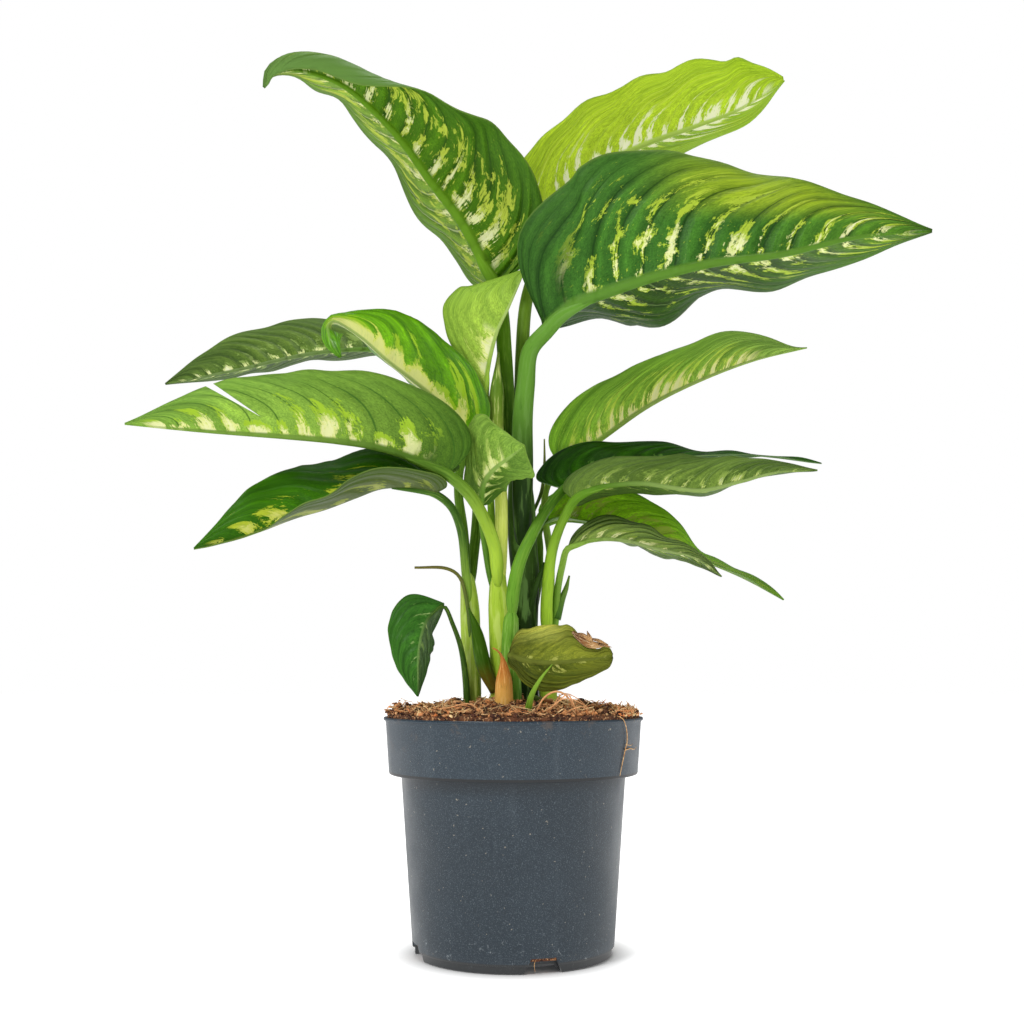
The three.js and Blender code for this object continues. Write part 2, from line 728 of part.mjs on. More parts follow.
for (const [name, cane] of Object.entries(canes)) {
  const shape = { sides: caneSides, steps: 2 * (cane.path.length - 1) };
  const clearance = solidFrom(stem(cane.path, cane.radii, { ...shape, extra: gap }));
  grow(name, solidFrom(stem(cane.path, cane.radii, shape)), clearance, cane.color);
}
for (const leaf of leaves) {
  const clearance = solidFrom(stem(stalkOf(leaf), leaf.radii, { extra: gap }));
  grow(leaf.name, leafSolid(leaf), clearance, leaf.color);
}
for (const sprig of sprigs) {
  const clearance = solidFrom(stem(sprig.path, sprig.radii, { extra: gap }));
  grow(sprig.name, solidFrom(stem(sprig.path, sprig.radii)), clearance, sprig.color);
}

const potted = new THREE.Group();
potted.add(meshFrom("pot", potSolid(), colours.pot, 0.55));
potted.add(meshFrom("soil", soilSolid(clearances), colours.soil, 1));
potted.add(plant);

export default potted;
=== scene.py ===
# A potted dieffenbachia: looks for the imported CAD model.
# Points and sizes in the tables are millimetres in the CAD frame, and mm() turns them into metres.
import bisect
import math
import random
import bpy
import bmesh
from mathutils import Matrix, Vector, noise


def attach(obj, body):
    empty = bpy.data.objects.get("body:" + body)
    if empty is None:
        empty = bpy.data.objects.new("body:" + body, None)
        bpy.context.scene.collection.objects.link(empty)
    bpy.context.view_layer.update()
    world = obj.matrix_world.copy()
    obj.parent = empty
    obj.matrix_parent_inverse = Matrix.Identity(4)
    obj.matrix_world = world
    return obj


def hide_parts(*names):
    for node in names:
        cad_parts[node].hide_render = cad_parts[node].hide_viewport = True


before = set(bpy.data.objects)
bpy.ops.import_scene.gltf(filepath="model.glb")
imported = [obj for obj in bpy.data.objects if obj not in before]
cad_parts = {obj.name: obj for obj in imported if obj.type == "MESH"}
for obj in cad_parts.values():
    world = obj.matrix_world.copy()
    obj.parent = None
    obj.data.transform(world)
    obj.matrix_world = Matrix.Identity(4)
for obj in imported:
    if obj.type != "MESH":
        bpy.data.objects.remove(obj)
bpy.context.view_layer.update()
dice = random.Random(7)


def mm(point):
    return Vector(point) * 0.001


# Camera: level, at the height of the lower leaves, shifted up to frame the whole plant
camera = bpy.data.objects.new("camera", bpy.data.cameras.new("camera"))
bpy.context.scene.collection.objects.link(camera)
camera.location = mm((-0.9, -856, 185.6))
camera.rotation_euler = (math.radians(90), 0, 0)
camera.data.lens = 45.7
camera.data.sensor_width = 36
camera.data.shift_y = 0.1543
camera.data.clip_start = 0.01
bpy.context.scene.camera = camera
bpy.context.scene.view_settings.view_transform = "Standard"


# Curves and values along them

def spanAt(count, t):
    # which of the spans between count values holds the part t, and how far along that span it is
    spot = min(max(t, 0), 1) * (count - 1)
    k = min(int(spot), count - 2)
    return k, spot - k


def straightValue(values, t):
    k, f = spanAt(len(values), t)
    return values[k] + (values[k + 1] - values[k]) * f


def blendValue(values, t):
    # the value at t from 0 to 1 of values spread evenly, with a smooth run between them
    if not isinstance(values, (list, tuple)):
        return values
    k, f = spanAt(len(values), t)
    a, b, c, d = [values[min(max(i, 0), len(values) - 1)] for i in range(k - 1, k + 3)]
    bends = (2 * a - 5 * b + 4 * c - d) * f * f + (3 * b - a - 3 * c + d) * f ** 3
    return min(max(0.5 * (2 * b + (c - a) * f + bends), min(b, c)), max(b, c))


def hermite(f, a, b, leave, reach):
    # between a and b, with the slope leave at a and reach at b
    return ((2 * f ** 3 - 3 * f * f + 1) * a + (f ** 3 - 2 * f * f + f) * leave
            + (3 * f * f - 2 * f ** 3) * b + (f ** 3 - f * f) * reach)


def smoothPath(points, perSpan=14):
    knots = [mm(p) for p in points]
    knots = [knots[0] * 2 - knots[1]] + knots + [knots[-1] * 2 - knots[-2]]
    path = []
    for a, b, c, d in zip(knots, knots[1:], knots[2:], knots[3:]):
        steps = [max((q - p).length, 1e-6) ** 0.5 for p, q in ((a, b), (b, c), (c, d))]
        leave = ((b - a) / steps[0] - (c - a) / (steps[0] + steps[1]) + (c - b) / steps[1]) * steps[1]
        reach = ((c - b) / steps[1] - (d - b) / (steps[1] + steps[2]) + (d - c) / steps[2]) * steps[1]
        path += [hermite(i / perSpan, b, c, leave, reach) for i in range(perSpan)]
    path.append(knots[-2])
    lengths = [0]
    for p, q in zip(path, path[1:]):
        lengths.append(lengths[-1] + (q - p).length)
    return path, lengths


def pointOn(track, t):
    # the point and the direction at a part t of a path's length
    path, lengths = track
    goal = min(max(t, 0), 1) * lengths[-1]
    low = min(bisect.bisect_right(lengths, goal) - 1, len(path) - 2)
    high = low + 1
    f = (goal - lengths[low]) / max(lengths[high] - lengths[low], 1e-9)
    before = path[max(low - 1, 0)]
    after = path[min(high + 1, len(path) - 1)]
    near = (path[high] - before).normalized()
    far = (after - path[low]).normalized()
    return path[low].lerp(path[high], f), near.lerp(far, f).normalized()


# Meshes

class Builder:
    # points with their maps and values, and faces, gathered for one mesh
    def __init__(self):
        self.points, self.faces, self.slots = [], [], []
        self.values = {"under": [], "rib": [], "tint": []}
        self.maps = {"blade": [], "veins": []}

    def add(self, point, blade=(0, 0), veins=(0, 0), under=0.0, rib=0.0, tint=0.0):
        self.points.append(tuple(point))
        self.maps["blade"].append(blade)
        self.maps["veins"].append(veins)
        self.values["under"].append(under)
        self.values["rib"].append(rib)
        self.values["tint"].append(tint)
        return len(self.points) - 1

    def face(self, corners, slot=0):
        self.faces.append(corners)
        self.slots.append(slot)

    def finish(self, name, materials):
        mesh = bpy.data.meshes.new(name)
        mesh.from_pydata(self.points, [], self.faces)
        for material in materials:
            mesh.materials.append(material)
        mesh.polygons.foreach_set("material_index", self.slots)
        mesh.polygons.foreach_set("use_smooth", [True] * len(self.faces))
        corners = [0] * len(mesh.loops)
        mesh.loops.foreach_get("vertex_index", corners)
        for label, values in self.maps.items():
            layer = mesh.uv_layers.new(name=label)
            layer.data.foreach_set("uv", [x for i in corners for x in values[i]])
        for label, values in self.values.items():
            mesh.attributes.new(label, "FLOAT", "POINT").data.foreach_set("value", values)
        mesh.validate()
        piece = bpy.data.objects.new(name, mesh)
        bpy.context.scene.collection.objects.link(piece)
        return piece


def roundOff(distance, reach, least):
    # how much of its radius a tube keeps at a distance from its end, over a reach in millimetres
    return least + (1 - least) * math.sin(math.pi / 2 * min(distance / reach, 1)) if reach else 1


def addTube(builder, points, radii, sides=18, rings=None, slot=0, tint=0.0, flat=1.0, swell=0, taper=0):
    # a round stem through points; blade holds (way round, way along), veins hold millimetres
    track = smoothPath(points)
    length = track[1][-1] * 1000
    rings = rings or max(10, int(length / 3))
    side = Vector((1, 0, 0))
    rows = []
    for i in range(rings + 1):
        t = i / rings
        centre, heading = pointOn(track, t)
        side = (side - heading * side.dot(heading)).normalized()
        other = heading.cross(side)
        radius = blendValue(radii, t)
        radius *= roundOff(t * length, swell, 0.45) * roundOff((1 - t) * length, taper, 0.15)
        row = []
        for k in range(sides + 1):
            turn = 2 * math.pi * k / sides
            spot = centre + (side * math.cos(turn) + other * math.sin(turn) * flat) * radius * 0.001
            row.append(builder.add(spot, (k / sides, t), (turn * radius, t * length), tint=tint))
        rows.append(row)
    for before, row in zip(rows, rows[1:]):
        for k in range(sides):
            builder.face((before[k], before[k + 1], row[k + 1], row[k]), slot)
    builder.face(tuple(reversed(rows[0][:-1])), slot)
    builder.face(tuple(rows[-1][:-1]), slot)


# Shader helpers

class Flow:
    # what leaves a shader node; a sum or product of flows is a maths node
    def __init__(self, tree, socket):
        self.tree, self.socket = tree, socket

    def calc(self, operation, *others):
        return put(self.tree, "ShaderNodeMath", dict(enumerate((self, *others))), operation=operation)

    def __add__(self, other):
        return self.calc("ADD", other)

    def __sub__(self, other):
        return self.calc("SUBTRACT", other)

    def __mul__(self, other):
        return self.calc("MULTIPLY", other)

    def __abs__(self):
        return self.calc("ABSOLUTE")


def place(tree, kind, inputs=None, **settings):
    node = tree.nodes.new(kind)
    for key, value in settings.items():
        setattr(node, key, value)
    for key, value in (inputs or {}).items():
        if isinstance(value, Flow):
            tree.links.new(value.socket, node.inputs[key])
        else:
            node.inputs[key].default_value = value
    return node


def put(tree, kind, inputs=None, out=0, **settings):
    return Flow(tree, place(tree, kind, inputs, **settings).outputs[out])


def ramp(value, low, high, start=0.0, end=1.0):
    # a soft step from start to end as value goes from low to high
    inputs = {"Value": value, "From Min": low, "From Max": high, "To Min": start, "To Max": end}
    return put(value.tree, "ShaderNodeMapRange", inputs, "Result", interpolation_type="SMOOTHSTEP")


def screenTone(tone):
    # a colour from its 0 to 255 screen values
    linear = [(v / 255 / 12.92) if v <= 10 else ((v / 255 + 0.055) / 1.055) ** 2.4 for v in tone]
    return (*linear, 1.0)


def mixTone(factor, a, b):
    # a mix of two colours, each a flow or a tone in screen values
    tree = factor.tree if isinstance(factor, Flow) else a.tree
    a, b = [tone if isinstance(tone, Flow) else screenTone(tone) for tone in (a, b)]
    return put(tree, "ShaderNodeMix", {0: factor, 6: a, 7: b}, 2, data_type="RGBA")


def scaled(factor, base, by):
    # base with its colour multiplied where factor is high
    return put(base.tree, "ShaderNodeMix", {0: factor, 6: base, 7: (*by, 1)}, 2, data_type="RGBA",
               blend_type="MULTIPLY")


def swing(base, value, span, low, high):
    # base made lighter where value is over a half and darker where it is under
    base = scaled(ramp(value, 0.5, 0.5 + span, 0.0, high), base, lighter)
    return scaled(ramp(value, 0.5, 0.5 - span, 0.0, low), base, darker)


def grain(vector, scale, detail=3.0, roughness=0.55, distortion=0.0):
    inputs = {"Vector": vector, "Scale": scale, "Detail": detail, "Roughness": roughness,
              "Distortion": distortion}
    return put(vector.tree, "ShaderNodeTexNoise", inputs, "Fac")


def flowsOf(tree, kind, inputs, **settings):
    node = place(tree, kind, inputs, **settings)
    return [Flow(tree, socket) for socket in node.outputs]


def parts(vector):
    return flowsOf(vector.tree, "ShaderNodeSeparateXYZ", {0: vector})


def joined(x, y, z=0.0):
    return put(x.tree, "ShaderNodeCombineXYZ", {0: x, 1: y, 2: z})


def meshMap(tree, name):
    return parts(put(tree, "ShaderNodeUVMap", uv_map=name))


def meshValue(tree, name):
    return put(tree, "ShaderNodeAttribute", out="Fac", attribute_name=name)


def newMaterial(name):
    material = bpy.data.materials.new(name)
    material.use_nodes = True
    material.node_tree.nodes.clear()
    return material, material.node_tree


def addSkin(base, height, strength, distance, rough, specular):
    bump = put(base.tree, "ShaderNodeBump", {"Height": height, "Strength": strength, "Distance": distance})
    inputs = {"Base Color": base, "Normal": bump, "Roughness": rough}
    skin = place(base.tree, "ShaderNodeBsdfPrincipled", inputs)
    skin.inputs["Specular IOR Level"].default_value = specular
    return Flow(base.tree, skin.outputs[0])


def newGroup(name, inputs):
    group = bpy.data.node_groups.new(name, "ShaderNodeTree")
    for label in inputs.split():
        group.interface.new_socket(label, in_out="INPUT", socket_type="NodeSocketFloat")
    given = group.nodes.new("NodeGroupInput").outputs
    return group, [Flow(group, given[label]) for label in inputs.split()]


def sendOut(group, flows):
    for label in flows:
        group.interface.new_socket(label, in_out="OUTPUT", socket_type="NodeSocketFloat")
    made = group.nodes.new("NodeGroupOutput").inputs
    for label, flow in flows.items():
        group.links.new(flow.socket, made[label])
    return group


def makeVeins():
    # side veins of a blade: a running count of them, the line of each, the light band that leans
    # on it, fine threads between, and the relief they make together
    group, (vein, away, across, seed) = newGroup("side veins", "Vein Away Across Seed")
    spot = joined(vein, across, seed)
    count = vein + (grain(spot, 0.5, 2.0) - 0.5) * 0.7
    part = count.calc("FRACT")
    inner = ramp(across, 1.0, 0.7)
    uneven = ramp(grain(spot, 0.9, 3.0), 0.38, 0.62, 0.25, 1.0)
    band = (ramp(part, 0.0, 0.34) * ramp(part, 1.0, 0.4) - 0.45) * uneven + 0.45
    threads = grain(joined(count * 15.0, away * 0.12, seed), 1.0, 3.0, 0.6)
    line = ramp(abs(part - 0.5) * 2.0, 0.87, 0.985) * inner
    height = band * inner + threads * 0.12
    return sendOut(group, {"Count": count, "Line": line, "Band": band, "Threads": threads, "Height": height})


def makeMarks():
    # pale marks: a ragged cream streak by each side vein, and lime patches and specks around them
    group, (veins, away, across, along, seed, cream, lime, reach, start, finish, core, fine) = newGroup(
        "pale marks", "Count Away Across Along Seed Cream Lime Reach Start Finish Core Fine")

    def layer(wide, long, shift, detail, roughness, distortion):
        return grain(joined(veins * wide, away * long, seed + shift), 1.0, detail, roughness, distortion)

    count = veins + (layer(1.2, 0.07, 5.0, 3.0, 0.6, 0.0) - 0.5) * 1.3
    index = (count + 0.62).calc("FLOOR")
    beside = abs(count - index + 0.12)
    chance = parts(put(group, "ShaderNodeTexWhiteNoise", {"Vector": joined(index, seed)}, "Color",
                       noise_dimensions="3D"))
    ragged = layer(3.4, 0.2, 0.0, 7.0, 0.78, 0.7) - 0.5
    out = across.calc("DIVIDE", reach * (chance[0] * 0.9 + 0.4))
    width = ramp(out, 0.0, 0.5, 0.45, 1.0) * ramp(out, 1.05, 0.55) * cream * (chance[1] * 0.5)
    level = width - beside + ragged * 1.15 - ramp(out, 0.8, 1.2, 0.0, 0.6) + ramp(across, 0.38, 0.04) * core
    level = (layer(12.0, 0.1, 43.0, 4.0, 0.65, 0.4) - 0.5) * fine + level
    ends = ramp(along, 1.0, 0.92) * ramp(across, 0.98, 0.86)
    ends = ends * ramp(along - start, 0.0, 0.12) * ramp(along - finish, 0.0, -0.12)
    streak = ramp(level, 0.03, 0.06) * ends
    far = ramp(ragged * 1.6 + out, 0.42, 0.62)
    near = (far - 1.0) * -1.0

    patches = layer(1.9, 0.085, 17.0, 7.0, 0.72, 0.6)
    spread = abs(across - reach * 0.75).calc("POWER", 2.0) * 1.6
    patch = ramp(patches - 0.5 + lime * 0.4 - spread, 0.25, 0.275)
    halo = ramp(level, -0.1, -0.06) * ramp(patches, 0.5, 0.53)
    specks = ramp(layer(9.0, 0.6, 31.0, 2.0, 0.5, 0.0), 0.68, 0.71) * ramp(patches, 0.5, 0.6)
    every = patch.calc("MAXIMUM", halo).calc("MAXIMUM", specks) * ends
    return sendOut(group, {"Cream": streak * near, "Lime": every.calc("MAXIMUM", streak * far),
                           "Deep": ramp(level, 0.12, 0.3) * (ends * near)})


veinGroup = makeVeins()
markGroup = makeMarks()

darker, lighter = (0.42, 0.5, 0.4), (1.55, 1.45, 1.35)

# The look of a leaf where its own table says nothing
usualLook = {"cream": 0.4, "lime": 0.3, "reach": 0.6, "start": 0.0, "finish": 1.0, "core": 0.0,
    "fine": 0.45, "edgeAmount": 0.5, "tipStart": 0.45, "tipAmount": 0.5, "rootReach": 0.3,
    "rootAmount": 0.8, "cloudy": 0.45, "mottle": 0.3, "furrowShading": 0.6, "threads": 0.25, "veinAmount": 0.3,
    "deepAmount": 0.7, "deepTone": (252, 252, 222), "backAmount": 0.4, "back": (104, 138, 62),
    "rimAmount": 0.5, "rim": (130, 160, 70), "bump": 0.4, "roughness": 0.5, "specular": 0.12}


def leafMaterial(name, ownLook):
    # the table's tones are for the side that the front view shows; the other side is a duller version
    material, tree = newMaterial(name)
    look = {**usualLook, **ownLook}
    seed = dice.uniform(0, 40)
    along, sideways = meshMap(tree, "blade")[:2]
    vein, away = meshMap(tree, "veins")[:2]
    across = abs(sideways)
    side = sideways.calc("GREATER_THAN", 0.0)
    sideSeed = side * 9.0 + seed
    inputs = {"Vein": vein, "Away": away, "Across": across, "Seed": sideSeed}
    count, line, band, threads, height = flowsOf(tree, "ShaderNodeGroup", inputs, node_tree=veinGroup)
    inputs = {"Count": count, "Away": away, "Across": across, "Along": along, "Seed": sideSeed}
    for key in ("cream", "lime", "reach", "start", "finish", "core", "fine"):
        inputs[key.capitalize()] = look[key]
    cream, lime, deep = flowsOf(tree, "ShaderNodeGroup", inputs, node_tree=markGroup)

    base = mixTone(side, look["lower"], look["upper"])
    base = mixTone(ramp(across, 0.35, 1.0, 0.0, look["edgeAmount"]), base, look["edge"])
    tipPart = ramp(along, look["tipStart"], 1.0, 0.0, look["tipAmount"])
    base = mixTone(tipPart, base, look.get("tip", look["edge"]))
    if "root" in look:
        base = mixTone(ramp(along, look["rootReach"], 0.0, 0.0, look["rootAmount"]), base, look["root"])
    # a brighter patch on the blade; on leaf_damaged_front it is a painted highlight
    if "glow" in look:
        s, u, reach, amount = look["glowAt"]
        near = ramp(abs(along - s), reach, 0.05) * ramp(abs(sideways - u), 0.4, 0.05)
        base = mixTone(near * amount, base, look["glow"])
    cloud = grain(joined(count, sideways, seed), 0.55, 4.0, 0.6)
    base = swing(base, cloud, 0.18, look["cloudy"], look["cloudy"])
    spot = joined(count * look["gap"], away, seed)
    base = swing(base, grain(spot, 0.22, 4.0, 0.65), 0.16, look["mottle"], look["mottle"])
    base = swing(base, grain(spot, 1.15, 3.0, 0.7), 0.14, 0.5, 0.45)
    inner = ramp(across, 1.0, 0.6, 0.35, 1.0)
    # painted shade next to each side vein and a painted highlight on the band between them, as light falls
    # on the pleated blade
    base = scaled(ramp(band, 0.55, 0.0, 0.0, look["furrowShading"]) * inner, base, darker)
    base = scaled(ramp(band, 0.5, 1.0, 0.0, look["furrowShading"]) * inner, base, lighter)
    base = scaled(ramp(threads, 0.5, 0.3, 0.0, look["threads"]), base, darker)
    base = scaled(ramp(threads, 0.55, 0.75, 0.0, look["threads"]), base, lighter)
    veinTone = mixTone(side, look.get("lowerVein", look["vein"]), look["vein"])
    base = mixTone(line * look["veinAmount"], base, veinTone)
    whole = ramp(threads, 0.5, 0.32, 1.0, 0.72)
    base = mixTone(lime * whole, base, look["limeTone"])
    base = mixTone(cream * whole, base, look["creamTone"])
    base = mixTone(deep * look["deepAmount"], base, look["deepTone"])
    ribTone = mixTone(ramp(along, 0.08, 0.5), look["stalk"], look["rib"])
    base = mixTone(meshValue(tree, "rib"), base, ribTone)
    under = meshValue(tree, "under")
    hidden = (under - 1.0) * -1.0 if look["faces"] == "under" else under
    base = mixTone(hidden, base, mixTone(look["backAmount"], base, look["back"]))
    base = mixTone(ramp(across, 0.975, 1.0, 0.0, look["rimAmount"]), base, look["rim"])

    cells = grain(joined(count, away * 0.1, seed), 9.0, 3.0, 0.6)
    rough = ramp(cells, 0.3, 0.7, look["roughness"] - 0.05, look["roughness"] + 0.1)
    skin = addSkin(base, height + cells * 0.12, look["bump"], 0.0022, rough, look["specular"])
    glow = put(tree, "ShaderNodeBsdfTranslucent", {"Color": scaled(1.0, base, (1.0, 1.0, 0.6))})
    mixed = put(tree, "ShaderNodeMixShader", {0: 0.18, 1: skin, 2: glow})
    place(tree, "ShaderNodeOutputMaterial", {"Surface": mixed})
    return material


usualStem = {"runStart": 0.1, "runEnd": 0.9, "stripes": 3.2, "streaks": 0.5, "shade": 0.45, "specks": 0.15,
             "bump": 0.35, "roughness": 0.42}


def stemMaterial(name, ownLook):
    # a cane or stalk: a run from its low to its high tone, stripes along it and fine pale specks
    material, tree = newMaterial(name)
    look = {**usualStem, **ownLook}
    around, along = meshMap(tree, "blade")[:2]
    length = meshMap(tree, "veins")[1]
    seed = dice.uniform(0, 40)
    turn = around * (2 * math.pi)
    flow = joined(turn.calc("COSINE"), turn.calc("SINE"), length * 0.02 + seed)
    stripes = grain(flow, look["stripes"], 5.0, 0.6)
    streakTone = look.get("streak", look["high"])
    base = mixTone(ramp(along, look["runStart"], look["runEnd"]), look["low"], look["high"])
    base = mixTone(ramp(stripes, 0.5, 0.62) * look["streaks"], base, streakTone)
    base = scaled(ramp(stripes, 0.45, 0.3) * look["shade"], base, (0.4, 0.5, 0.4))
    specks = ramp(grain(joined(around * 30.0, length * 1.2, seed), 1.0, 3.0), 0.62, 0.72)
    base = mixTone(specks * look["specks"], base, streakTone)
    skin = addSkin(base, stripes, look["bump"], 0.0008, look["roughness"], 0.08)
    place(tree, "ShaderNodeOutputMaterial", {"Surface": skin})
    return material


# Leaves

outlineKnots = [(0, 0.03), (0.03, 0.45), (0.09, 0.76), (0.18, 0.95), (0.28, 1), (0.42, 0.94), (0.56, 0.8),
                (0.7, 0.6), (0.82, 0.39), (0.92, 0.18), (1, 0.02)]
bladeSteps = 64  # rows of points along a blade
halfSheet = 0.3  # half the thickness of a blade
ribColumns = (0.4, 0.75, 1.05, 1.6)  # columns of points over the midrib, in its radii from the middle
outerColumns = 11  # columns from there to the margin
wavesPerBlade = 4
stalkRun = (0.06, 0.18)  # where the stalk runs on in the midrib, as parts of its length


def outlineAt(s):
    # half-width of a blade along it, as a part of the widest
    last = len(outlineKnots) - 1
    k = max(i for i in range(last) if outlineKnots[i][0] <= s or i == 0)
    (x0, y0), (x1, y1) = outlineKnots[k], outlineKnots[k + 1]

    def slope(i):
        if i == 0:
            return 16.0
        (xa, ya), (xb, yb) = outlineKnots[i - 1], outlineKnots[min(i + 1, last)]
        return (yb - ya) / (xb - xa)

    return hermite((s - x0) / (x1 - x0), y0, y1, slope(k) * (x1 - x0), slope(k + 1) * (x1 - x0))


def bladeRows(leaf, seed):
    # the middle surface of a blade: rows from base to tip, each from the lower margin to the upper one
    track = smoothPath(leaf["rib"])
    heading = 1 if leaf["rib"][-1][0] > leaf["rib"][0][0] else -1
    pairs = track[1][-1] * 1000 / leaf["veinGap"]
    readTrim = straightValue if "sharp" in leaf else blendValue
    grid = []
    for i in range(bladeSteps + 1):
        s = (i / bladeSteps) ** 1.2
        full = outlineAt(s)
        centre, tangent = pointOn(track, s)
        back = (Vector((0, 1, 0)) - tangent * tangent.y).normalized()
        up = tangent.cross(back) * heading
        ribSize = leaf["ribRadius"] * (1 - s) ** 0.8 + 0.3
        row = []
        for half, sign in ((leaf["lower"], -1), (leaf["upper"], 1)):
            rough = 1 + leaf["margin"] * noise.noise(Vector((s * 12, sign * 5, seed)))
            width = max(half["width"] * full * readTrim(half.get("trim", 1), s) * rough, 0.4)
            columns = [min(ribSize * k, width * 0.1 * (j + 1)) / width for j, k in enumerate(ribColumns)]
            columns += [columns[-1] + (1 - columns[-1]) * (k / outerColumns) ** 0.9
                        for k in range(1, outerColumns + 1)]
            points = []
            for v in columns:
                turn = math.radians(blendValue(half.get("bend", 0), s)) * v
                angle = math.radians(blendValue(half["lean"], s)) + turn / 2
                reach = width * v * (math.sin(turn / 2) / (turn / 2) if abs(turn) > 1e-6 else 1)
                vein = pairs * s - leaf["veinLean"] * (0.15 * v + 0.85 * v ** 3)
                lift = leaf["wave"] * v * v * full * math.sin(2 * math.pi * wavesPerBlade * s)
                lift += noise.noise(Vector((s * 11, v * 1.5, seed + sign))) * 1.4 * v ** 3 * full ** 0.5
                pucker = math.cos(2 * math.pi * vein) * math.sin(math.pi * min(v, 1)) ** 0.7
                lift += leaf["pucker"] * pucker * full * 0.5
                point = centre + up * (sign * math.cos(angle) * reach - math.sin(angle) * lift) * 0.001
                point += back * (math.sin(angle) * reach + sign * math.cos(angle) * lift) * 0.001
                point += tangent * width * v * blendValue(leaf["sweep"], s) * 0.001
                points.append((point, v * sign, vein, width * v, ribSize))
            row.extend(reversed(points) if sign < 0 else points)
            if sign < 0:
                row.append((centre, 0.0, pairs * s, 0.0, ribSize))
        grid.append((s, row))
    return grid, heading


def addBlade(builder, leaf, seed):
    grid, heading = bladeRows(leaf, seed)
    face = 1 if leaf["shows"] == "upper" else -1
    top, bottom = [], []
    for i, (s, row) in enumerate(grid):
        before, after = grid[max(i - 1, 0)][1], grid[min(i + 1, bladeSteps)][1]
        top.append([])
        bottom.append([])
        for j, (point, u, vein, away, ribSize) in enumerate(row):
            ahead = after[j][0] - before[j][0]
            sideways = row[min(j + 1, len(row) - 1)][0] - row[max(j - 1, 0)][0]
            normal = ahead.cross(sideways).normalized() * heading * face * 0.001
            ratio = away / ribSize
            bulge = ribSize * 0.85 * math.sqrt(max(0, 1 - (ratio / 1.1) ** 2))
            mask = min(max(1.25 - ratio, 0) * 4, 1) * min((1 - s) * 5, 1)
            groove = 0.25 * ribSize * math.exp(-ratio * ratio)
            maps = (s, u), (vein, away)
            top[-1].append(builder.add(point + normal * (halfSheet - groove), *maps, 0.0, mask * 0.8))
            bottom[-1].append(builder.add(point - normal * max(halfSheet, bulge), *maps, 1.0, mask))
    last = len(top[0]) - 1
    for i in range(bladeSteps):
        for j in range(last):
            builder.face((top[i][j], top[i][j + 1], top[i + 1][j + 1], top[i + 1][j]))
            builder.face((bottom[i][j], bottom[i + 1][j], bottom[i + 1][j + 1], bottom[i][j + 1]))
        for j in (0, last):
            builder.face((top[i][j], top[i + 1][j], bottom[i + 1][j], bottom[i][j]))
    for i in (0, bladeSteps):
        for j in range(last):
            builder.face((top[i][j], bottom[i][j], bottom[i][j + 1], top[i][j + 1]))


def settle(piece, node):
    # outward normals, and the piece takes the place of its CAD node
    shape = bmesh.new()
    shape.from_mesh(piece.data)
    bmesh.ops.remove_doubles(shape, verts=shape.verts, dist=1e-7)
    bmesh.ops.recalc_face_normals(shape, faces=shape.faces)
    shape.to_mesh(piece.data)
    shape.free()
    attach(piece, "root")
    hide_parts(node)


# The look of a stalk, and the numbers of a leaf, where its own table says nothing. The stalk and the rib
# are paths. Upper and lower are the halves of the blade: lean turns a half away from upright, to the back,
# and bend curls it on, both in degrees, and trim scales its outline. A list runs from base to tip.
usualStalk = {"low": (76, 112, 24), "high": (98, 142, 40), "streak": (140, 176, 70), "streaks": 0.3,
              "specks": 0.08}
usualLeaf = {"veinGap": 11, "veinLean": 3.4, "sweep": [-0.1, 0.05, 0.12, 0.2, 0.3], "margin": 0.03,
    "wave": 1.5, "pucker": 0.2, "swell": 16, "shows": "under", "stalkLook": {}, "ribRadius": 1.8}


def growLeaf(name, ownLeaf):
    leaf = {**usualLeaf, **ownLeaf}
    stalkLook = {**usualStalk, **leaf["stalkLook"]}
    seed = dice.uniform(0, 50)
    builder = Builder()
    addBlade(builder, leaf, seed)
    stalk = list(leaf["stalk"])
    taper, stalkTone = 0, leaf["look"]["rib"]
    if "stalkEnd" not in leaf:
        # the stalk runs on into the midrib and thins out there
        ribTrack = smoothPath(leaf["rib"])
        taper, stalkTone = ribTrack[1][-1] * 1000 * stalkRun[-1], stalkLook["high"]
        stalk += [tuple(pointOn(ribTrack, s)[0] * 1000) for s in stalkRun]
    addTube(builder, stalk, leaf["radii"], 16, slot=1, swell=leaf["swell"], taper=taper)
    look = {**leaf["look"], "gap": leaf["veinGap"], "faces": leaf["shows"], "stalk": stalkTone}
    skins = [leafMaterial(name + "_blade", look), stemMaterial(name + "_stalk", stalkLook)]
    if "tears" in leaf:
        for tear in leaf["tears"]:
            addTube(builder, tear["path"], tear["radii"], 8, 12, slot=2, flat=tear.get("flat", 0.3))
        skins.append(stemMaterial(name + "_torn", leaf["tearLook"]))
    piece = builder.finish(name + "_fine", skins)
    if "slit" in leaf:
        slit = leaf["slit"]
        applyCut(piece, [makeCutter(slit["corners"], slit["front"], slit["back"])])
    settle(piece, name)


def makeCutter(corners, front, back, turn=0.0):
    # an upright outline drawn out along Y, to cut with
    shape = bmesh.new()
    near, far = [[shape.verts.new(mm((x, y, z))) for x, z in corners] for y in (front, back)]
    shape.faces.new(near)
    shape.faces.new(list(reversed(far)))
    for k in range(len(near)):
        n = (k + 1) % len(near)
        shape.faces.new((near[n], near[k], far[k], far[n]))
    bmesh.ops.recalc_face_normals(shape, faces=shape.faces)
    mesh = bpy.data.meshes.new("cutter")
    shape.to_mesh(mesh)
    shape.free()
    cutter = bpy.data.objects.new("cutter", mesh)
    cutter.rotation_euler.z = math.radians(turn)
    bpy.context.scene.collection.objects.link(cutter)
    return cutter


